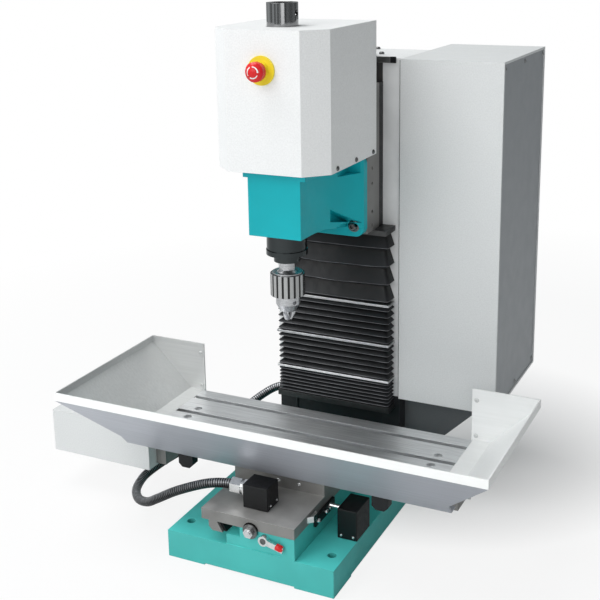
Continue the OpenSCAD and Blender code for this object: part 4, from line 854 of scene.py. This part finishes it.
class MILL_OT_bellows(bpy.types.Operator):
    """Make the folded bellows, with its wide upper folds hanging, and the bright strips across it"""

    bl_idname = "mill.bellows"
    bl_label = "Bellows and strips"

    def execute(self, context):
        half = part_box("bellows")[1].x
        points = []
        levels = fold_levels()
        for number, level in enumerate(levels):
            z, out, free = level[:3]
            for p in bellows_plan(out):
                across = p.x / half
                hang = sizes().sag * free * (1 - across ** 2)
                turn = RIPPLE_TURN * across + RIPPLE_SHIFT * (number // LEVELS_A_FOLD)
                points.append((p.x, p.y, z - hang + RIPPLE * free * math.sin(turn)))
        count = len(bellows_plan(0))
        faces = [(j * count + i, (j + 1) * count + i, (j + 1) * count + i + 1, j * count + i + 1)
                 for j in range(len(levels) - 1) for i in range(count - 1)]
        piece = piece_from("bellows_cloth", points, faces, "coated_cloth")
        # The hem value drives the cloth's painted shade in its folds and painted highlight along its hems
        layer = piece.data.attributes.new("hem", "FLOAT", "POINT")
        layer.data.foreach_set("value", [level[3] for level in levels for i in range(count)])
        wall = piece.modifiers.new("wall", "SOLIDIFY")
        wall.thickness, wall.offset = sizes().cloth, -1
        bake(piece)
        piece.data.set_sharp_from_angle(angle=CREASE)
        self.stretch(piece, "bellows", "black_fabric")
        strips = self.strips()
        self.stretch(strips, "bellows_strips", "bright_metal")
        return {"FINISHED"}

    def strips(self):
        """A copy of the CAD strips, at their full height and with softened edges"""
        shape = merged_copy("bellows_strips")
        low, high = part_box("bellows")
        middles = [low.z + (high.z - low.z) * share for share in STRIP_SHARES]
        for vert in shape.verts:
            middle = min(middles, key=lambda z: abs(z - vert.co.z))
            vert.co.z = middle + math.copysign(sizes().strip / 2, vert.co.z - middle)
        return soften(object_from("bellows_bars", shape, "strip_metal"), STRIP_EDGE, 2, "ANGLE")

    def stretch(self, piece, part, slot):
        """Bakes a piece's place into its mesh and hides the CAD node that it stands in for"""
        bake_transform(piece)
        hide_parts(part)


# Screws


def solids_of(part):
    """The lowest and highest corners of each separate solid of a CAD node."""
    shape = bmesh.new()
    shape.from_mesh(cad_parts[part].data)
    bmesh.ops.remove_doubles(shape, verts=shape.verts, dist=0.001 * MM)
    left, found = set(shape.verts), []
    while left:
        edge, group = [left.pop()], []
        while edge:
            vert = edge.pop()
            group.append(vert.co.copy())
            near = {e.other_vert(vert) for e in vert.link_edges} & left
            left -= near
            edge.extend(near)
        found.append((Vector(min(v[i] for v in group) for i in range(3)),
                      Vector(max(v[i] for v in group) for i in range(3))))
    shape.free()
    return found


# A button head's outline as radius and height, with its hexagon socket, all as shares
HEAD_SHARES = [(1.0, 0.0), (1.0, 0.35), (0.93, 0.62), (0.8, 0.84), (0.62, 1.0)]
SOCKET_SHARE, SOCKET_FLOOR_SHARE = 0.48, 0.35
HEAD_SIDES = 24


def screw_head():
    """A button head with a hexagon socket: radius 1, height 1, seat at the origin, facing +Z."""
    points = ring_points(HEAD_SHARES, HEAD_SIDES)
    for z in (1.0, SOCKET_FLOOR_SHARE):
        for i in range(HEAD_SIDES):
            a = 2 * math.pi * i / HEAD_SIDES
            turn = (a + math.pi / 6) % (math.pi / 3) - math.pi / 6
            r = SOCKET_SHARE * math.cos(math.pi / 6) / math.cos(turn)
            points.append(Vector((r * math.cos(a), r * math.sin(a), z)))
    faces = ring_faces(len(points) // HEAD_SIDES, HEAD_SIDES)
    return add_object("screw_head", mesh_from("screw_head", points, faces, smooth=False))


def screws_tree():
    """Geometry Nodes: a head on each point, turned to its facing and sized by its attributes."""
    tree, given = geometry_tree("screw_heads", Head="Object")
    head = node(tree, "GeometryNodeObjectInfo", {"Object": given["Head"]}).outputs["Geometry"]
    facing = node(tree, "GeometryNodeInputNamedAttribute", {"Name": "facing"}, data_type="FLOAT_VECTOR")
    size = node(tree, "GeometryNodeInputNamedAttribute", {"Name": "size"}, data_type="FLOAT_VECTOR")
    turn = node(tree, "FunctionNodeAlignRotationToVector", {"Vector": facing.outputs["Attribute"]}, axis="Z")
    dots = node(tree, "GeometryNodeMeshToPoints", {"Mesh": given["Geometry"]})
    heads = node(tree, "GeometryNodeInstanceOnPoints", {
        "Points": dots.outputs["Points"], "Instance": head, "Rotation": turn.outputs["Rotation"],
        "Scale": size.outputs["Attribute"]})
    return sent_out(tree, given, heads.outputs["Instances"])


def scatter_heads(name, spots, look):
    """One mesh of screw heads from their seats, facings and sizes."""
    mesh = bpy.data.meshes.new(name)
    mesh.from_pydata([spot[0] for spot in spots], [], [])
    for key, index in (("facing", 1), ("size", 2)):
        layer = mesh.attributes.new(key, "FLOAT_VECTOR", "POINT")
        layer.data.foreach_set("vector", [c for spot in spots for c in spot[index]])
    piece, head = add_object(name, mesh), screw_head()
    modifier = piece.modifiers.new("heads", "NODES")
    modifier.node_group = screws_tree()
    set_inputs(modifier, {"Head": head, "Material": finish(look)})
    bake(piece)
    bpy.data.objects.remove(head)
    return piece


# Each node of screws: its body, the node that its heads face away from, and its finish
SCREW_NODES = {
    "cabinet_screws": ("base", "cabinet_shell", "dull_zinc"),
    "tray_screws": ("table", "tray_front", "tray_sheet"),
    "head_screws": ("head", "z_slide_plate", "black_screw"),
    "gib_screws": ("saddle", "saddle", "nickel"),
}
# A head from this radius up is a bolt on a washer
BOLT_RADIUS = 5 * MM
BOLT_WASHER = 1.6 * MM
BOLT_SHARE, SEAT_SHARE = 0.75, 0.9


class MILL_OT_screws(bpy.types.Operator):
    """Make socket heads where the CAD has plain studs"""

    bl_idname = "mill.screws"
    bl_label = "Screws"

    def execute(self, context):
        for part, (body, middle, look) in SCREW_NODES.items():
            spots = [spot for low, high in solids_of(part) for spot in self.heads(low, high, part, middle)]
            piece = scatter_heads(part + "_heads", spots, look)
            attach(piece, body)
            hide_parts(part)
        return {"FINISHED"}

    def heads(self, low, high, part, middle):
        """Seat, facing and size of the heads of one solid"""
        span, centre = high - low, (low + high) / 2
        axis = min(range(3), key=lambda i: span[i])
        core = sum(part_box(middle), Vector()) / 2
        way = 1 if part == "cabinet_screws" or (axis == 0 and centre.x > core.x) else -1
        facing = Vector([way if i == axis else 0 for i in range(3)])
        radius = max(span) / 2
        seat = Vector(centre)
        seat[axis] = low[axis] if way > 0 else high[axis]
        if radius < BOLT_RADIUS:
            return [(seat, facing, (radius, radius, span[axis]))]
        bolt, lift = radius * BOLT_SHARE, BOLT_WASHER * SEAT_SHARE
        return [(seat, facing, (radius, radius, BOLT_WASHER)),
                (seat + facing * lift, facing, (bolt, bolt, span[axis] - lift))]


# Switches

SWITCHES = {"x_limit_switch": "saddle", "y_limit_switch": "base"}
LID_SCREW = (1.7 * MM, 1.7 * MM, 0.9 * MM)
# How far in the lid's screws sit, and how much farther the front one of the X switch
LID_INSET, FRONT_INSET_SHARE = 5 * MM, 1.6
# The rounding of a box's outer edges, and the shortest edge that gets it
BOX_EDGE, SHORTEST_EDGE = 1.2 * MM, 8 * MM


class MILL_OT_switches(bpy.types.Operator):
    """Make the switch boxes with moulded edges, and the screws of their lids"""

    bl_idname = "mill.switches"
    bl_label = "Limit switches"

    def execute(self, context):
        for part, body in SWITCHES.items():
            shape = merged_copy(part)
            weight = shape.edges.layers.float.new("bevel_weight_edge")
            for line in shape.edges:
                line[weight] = 1.0 if line.is_convex and line.calc_length() > SHORTEST_EDGE else 0.0
            piece = object_from(part + "_box", shape, "switch_plastic")
            soften(piece, BOX_EDGE, 3, "WEIGHT")
            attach(piece, body)
            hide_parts(part)
            screws = scatter_heads(part + "_screws", self.lid_screws(part), "nickel")
            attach(screws, body)
        return {"FINISHED"}

    def lid_screws(self, part):
        """Seats along the foot of the face that the lid closes"""
        low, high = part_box(part)
        if part == "x_limit_switch":
            return [(Vector((high.x, y, low.z + LID_INSET)), Vector((1, 0, 0)), LID_SCREW)
                    for y in (low.y + FRONT_INSET_SHARE * LID_INSET, high.y - LID_INSET)]
        return [(Vector((x, low.y, low.z + LID_INSET)), Vector((0, -1, 0)), LID_SCREW)
                for x in (low.x + LID_INSET, high.x - LID_INSET)]


# Small trim

BLOCK_EDGE = 0.3 * MM
# Bolts of the column's lid: their size, the lid's thickness, and their places from above in millimetres
LID_BOLT = (3.6 * MM, 3.6 * MM, 3 * MM)
LID_PLATE = 2 * MM
LID_BOLT_PLACES = ((47, 118), (18, 177))
# Rail of the Y stops, in millimetres: its ends in Y, its heights, and its reach in and out of the stop
RAIL_ENDS, RAIL_HEIGHTS = (-147, -90), (54, 67)
RAIL_IN, RAIL_OUT, RAIL_SEAT = 0.5, 3.5, 3.4
RAIL_SCREW = (3.2 * MM, 3.2 * MM, 3 * MM)
RAIL_SCREW_PLACES = (-141, -117, -106)
# Bars at the column's top, in millimetres: their edges from the middle out, their depth and half height
BAR_INNER, BAR_OUTER, BAR_END = 46, 76.5, 84
BAR_GAP, BAR_DEPTH, BAR_HALF = 0.1, 2.6, 4
# Dark strip, painted shade of the gap between column and cabinet, in millimetres: its width, and how far it
# stands out of and into the cover
GAP_STRIP_WIDTH, GAP_STRIP_OUT, GAP_STRIP_IN = 2.4, 1.6, 0.4
# Lock lever: its hub's inset and cap, and its tip's tilt, end and outline
HUB_INSET, HUB_LIFT = 6.5 * MM, 0.1 * MM
HUB_CAP = (4 * MM, 4 * MM, 0.8 * MM)
TIP_TILT = math.radians(14)
TIP_END = Vector((-1.6, 2, 4.4)) * MM
TIP_OUTLINE = [(3.6, -9), (4.4, -8.6), (4.7, -6), (4.6, -3), (4.0, -0.8), (2.8, 0.6), (1.2, 1.1)]
TIP_SIDES, TIP_FLAT_SHARE = 24, 0.85
# Turning marks of the stop button: how many, their arc, radius, width and lift, and the button's dome
MARKS, MARK_STEPS, MARK_ARC = 3, 10, 95
MARK_RADIUS, MARK_WIDTH, MARK_LIFT, DOME = 6.6 * MM, 1.7 * MM, 0.12 * MM, 15 * MM
MARK_TAPER_SHARE = 0.5


def block(name, low, high, look):
    """A box with softened edges between two corners in millimetres."""
    corners = [[c * MM for c in corner] for corner in (low, high)]
    points = [(corners[i][0], corners[j][1], corners[k][2]) for i in (0, 1) for j in (0, 1) for k in (0, 1)]
    faces = [(0, 1, 3, 2), (4, 6, 7, 5), (0, 4, 5, 1), (2, 3, 7, 6), (0, 2, 6, 4), (1, 5, 7, 3)]
    return soften(piece_from(name, points, faces, look, smooth=False), BLOCK_EDGE, 2, "ANGLE")


class MILL_OT_trim(bpy.types.Operator):
    """Make the small fittings of the lever, the stop button, the column's top and the Y stops"""

    bl_idname = "mill.trim"
    bl_label = "Small trim"

    def execute(self, context):
        self.lever_tip()
        self.stop_marks()
        self.column_bars()
        self.column_bolts()
        self.dog_rail()
        self.lever_cap()
        return {"FINISHED"}

    def column_bolts(self):
        """Dark bolts that hold the column's lid"""
        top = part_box("column_cover")[1].z + LID_PLATE
        spots = [(Vector((x * MM, y * MM, top)), Vector((0, 0, 1)), LID_BOLT) for x, y in LID_BOLT_PLACES]
        piece = scatter_heads("column_bolts", spots, "black_screw")
        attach(piece, "base")

    def dog_rail(self):
        """The rail under the saddle's edge that carries the Y stops, with their bright screws"""
        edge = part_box("y_trip_dog")[0].x / MM
        (start, end), (foot, top) = RAIL_ENDS, RAIL_HEIGHTS
        rail = block("dog_rail", (edge - RAIL_IN, start, foot), (edge + RAIL_OUT, end, top), "black_oxide")
        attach(rail, "saddle")
        seats = [Vector((edge + RAIL_SEAT, y, (foot + top) / 2)) * MM for y in RAIL_SCREW_PLACES]
        spots = [(seat, Vector((1, 0, 0)), RAIL_SCREW) for seat in seats]
        screws = scatter_heads("dog_screws", spots, "nickel")
        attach(screws, "saddle")

    def lever_cap(self):
        """The dark cap on the lever's hub"""
        low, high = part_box("lock_lever")
        hub = Vector((low.x + HUB_INSET, low.y + HUB_LIFT, high.z - HUB_INSET))
        piece = scatter_heads("lever_cap", [(hub, Vector((0, -1, 0)), HUB_CAP)], "black_screw")
        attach(piece, "lock_lever")

    def column_bars(self):
        """The bars that end the ways at the column's top, and a dark strip that paints the gap's shade
        between column and cabinet
        """
        low, high = (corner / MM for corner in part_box("column_cover"))
        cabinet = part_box("cabinet_shell")[0] / MM
        face, top = low.y - BAR_GAP, high.z
        bars = [(side * BAR_INNER, side * BAR_OUTER, "dull_zinc") for side in (-1, 1)]
        bars += [(side * BAR_OUTER, side * BAR_END, "black_oxide") for side in (-1, 1)]
        for number, (a, b, look) in enumerate(bars):
            near = (min(a, b), face - BAR_DEPTH, top - BAR_HALF)
            piece = block("way_bar_%d" % number, near, (max(a, b), face, top + BAR_HALF), look)
            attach(piece, "base")
        # A dark rubber strip as painted shade in the gap between column and cabinet
        near = (high.x - GAP_STRIP_WIDTH, low.y - GAP_STRIP_OUT, cabinet.z)
        gap_strip = block("column_seal", near, (high.x, low.y + GAP_STRIP_IN, top), "belt_rubber")
        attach(gap_strip, "base")

    def lever_tip(self):
        """A dipped plastic tip over the end of the lock lever"""
        low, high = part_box("lock_lever")
        end = Vector((high.x, low.y, low.z)) + TIP_END
        way = Vector((math.cos(TIP_TILT), 0, -math.sin(TIP_TILT)))
        turn = way.to_track_quat("Z", "Y").to_matrix().to_4x4()
        shape = Matrix.Translation(end) @ turn @ Matrix.Diagonal((1, TIP_FLAT_SHARE, 1, 1))
        points = [shape @ (point * MM) for point in ring_points(TIP_OUTLINE, TIP_SIDES)]
        piece = piece_from("lever_tip", points, ring_faces(len(TIP_OUTLINE), TIP_SIDES), "stop_red")
        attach(piece, "lock_lever")

    def stop_marks(self):
        """Curved marks that show which way the stop button turns"""
        low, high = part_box("estop_knob")
        centre = Vector(((low.x + high.x) / 2, low.y, (low.z + high.z) / 2))
        points, faces = [], []
        for mark in range(MARKS):
            start = len(points)
            for k in range(MARK_STEPS + 1):
                angle = math.radians(360 / MARKS * mark + MARK_ARC * k / MARK_STEPS)
                width = MARK_WIDTH * (1 - MARK_TAPER_SHARE * k / MARK_STEPS)
                for r in (MARK_RADIUS - width / 2, MARK_RADIUS + width / 2):
                    rise = DOME - math.sqrt(DOME ** 2 - r ** 2) - MARK_LIFT
                    points.append(centre + Vector((r * math.cos(angle), rise, r * math.sin(angle))))
            starts = range(start, start + 2 * MARK_STEPS, 2)
            faces += [(i, i + 1, i + 3, i + 2) for i in starts]
        piece = piece_from("stop_marks", points, faces, "mark_white")
        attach(piece, "estop_knob")


# Panel and registration


class MILL_PT_panel(bpy.types.Panel):
    """The machine's settings and its operators"""

    bl_idname = "MILL_PT_panel"
    bl_label = "Bench mill"
    bl_space_type = "VIEW_3D"
    bl_region_type = "UI"
    bl_category = "Mill"

    def draw(self, context):
        for group in (context.scene.mill_colours, context.scene.mill_sizes):
            column = self.layout.column()
            for key in type(group).__annotations__:
                column.prop(group, key)
        for operator in OPERATORS:
            self.layout.operator(operator.bl_idname)


OPERATORS = (MILL_OT_finishes, MILL_OT_stage, MILL_OT_conduit, MILL_OT_bellows, MILL_OT_screws,
             MILL_OT_switches, MILL_OT_trim)
CLASSES = (MillColours, MillSizes, *OPERATORS, MILL_PT_panel)


def register():
    for cls in CLASSES:
        bpy.utils.register_class(cls)
    bpy.types.Scene.mill_colours = bpy.props.PointerProperty(type=MillColours)
    bpy.types.Scene.mill_sizes = bpy.props.PointerProperty(type=MillSizes)


def unregister():
    del bpy.types.Scene.mill_sizes
    del bpy.types.Scene.mill_colours
    for cls in reversed(CLASSES):
        bpy.utils.unregister_class(cls)


def main():
    """Makes everything in order."""
    register()
    bpy.ops.mill.finishes()
    bpy.ops.mill.stage()
    bpy.ops.mill.conduit()
    bpy.ops.mill.bellows()
    bpy.ops.mill.screws()
    bpy.ops.mill.switches()
    bpy.ops.mill.trim()


if __name__ == "__main__":
    main()
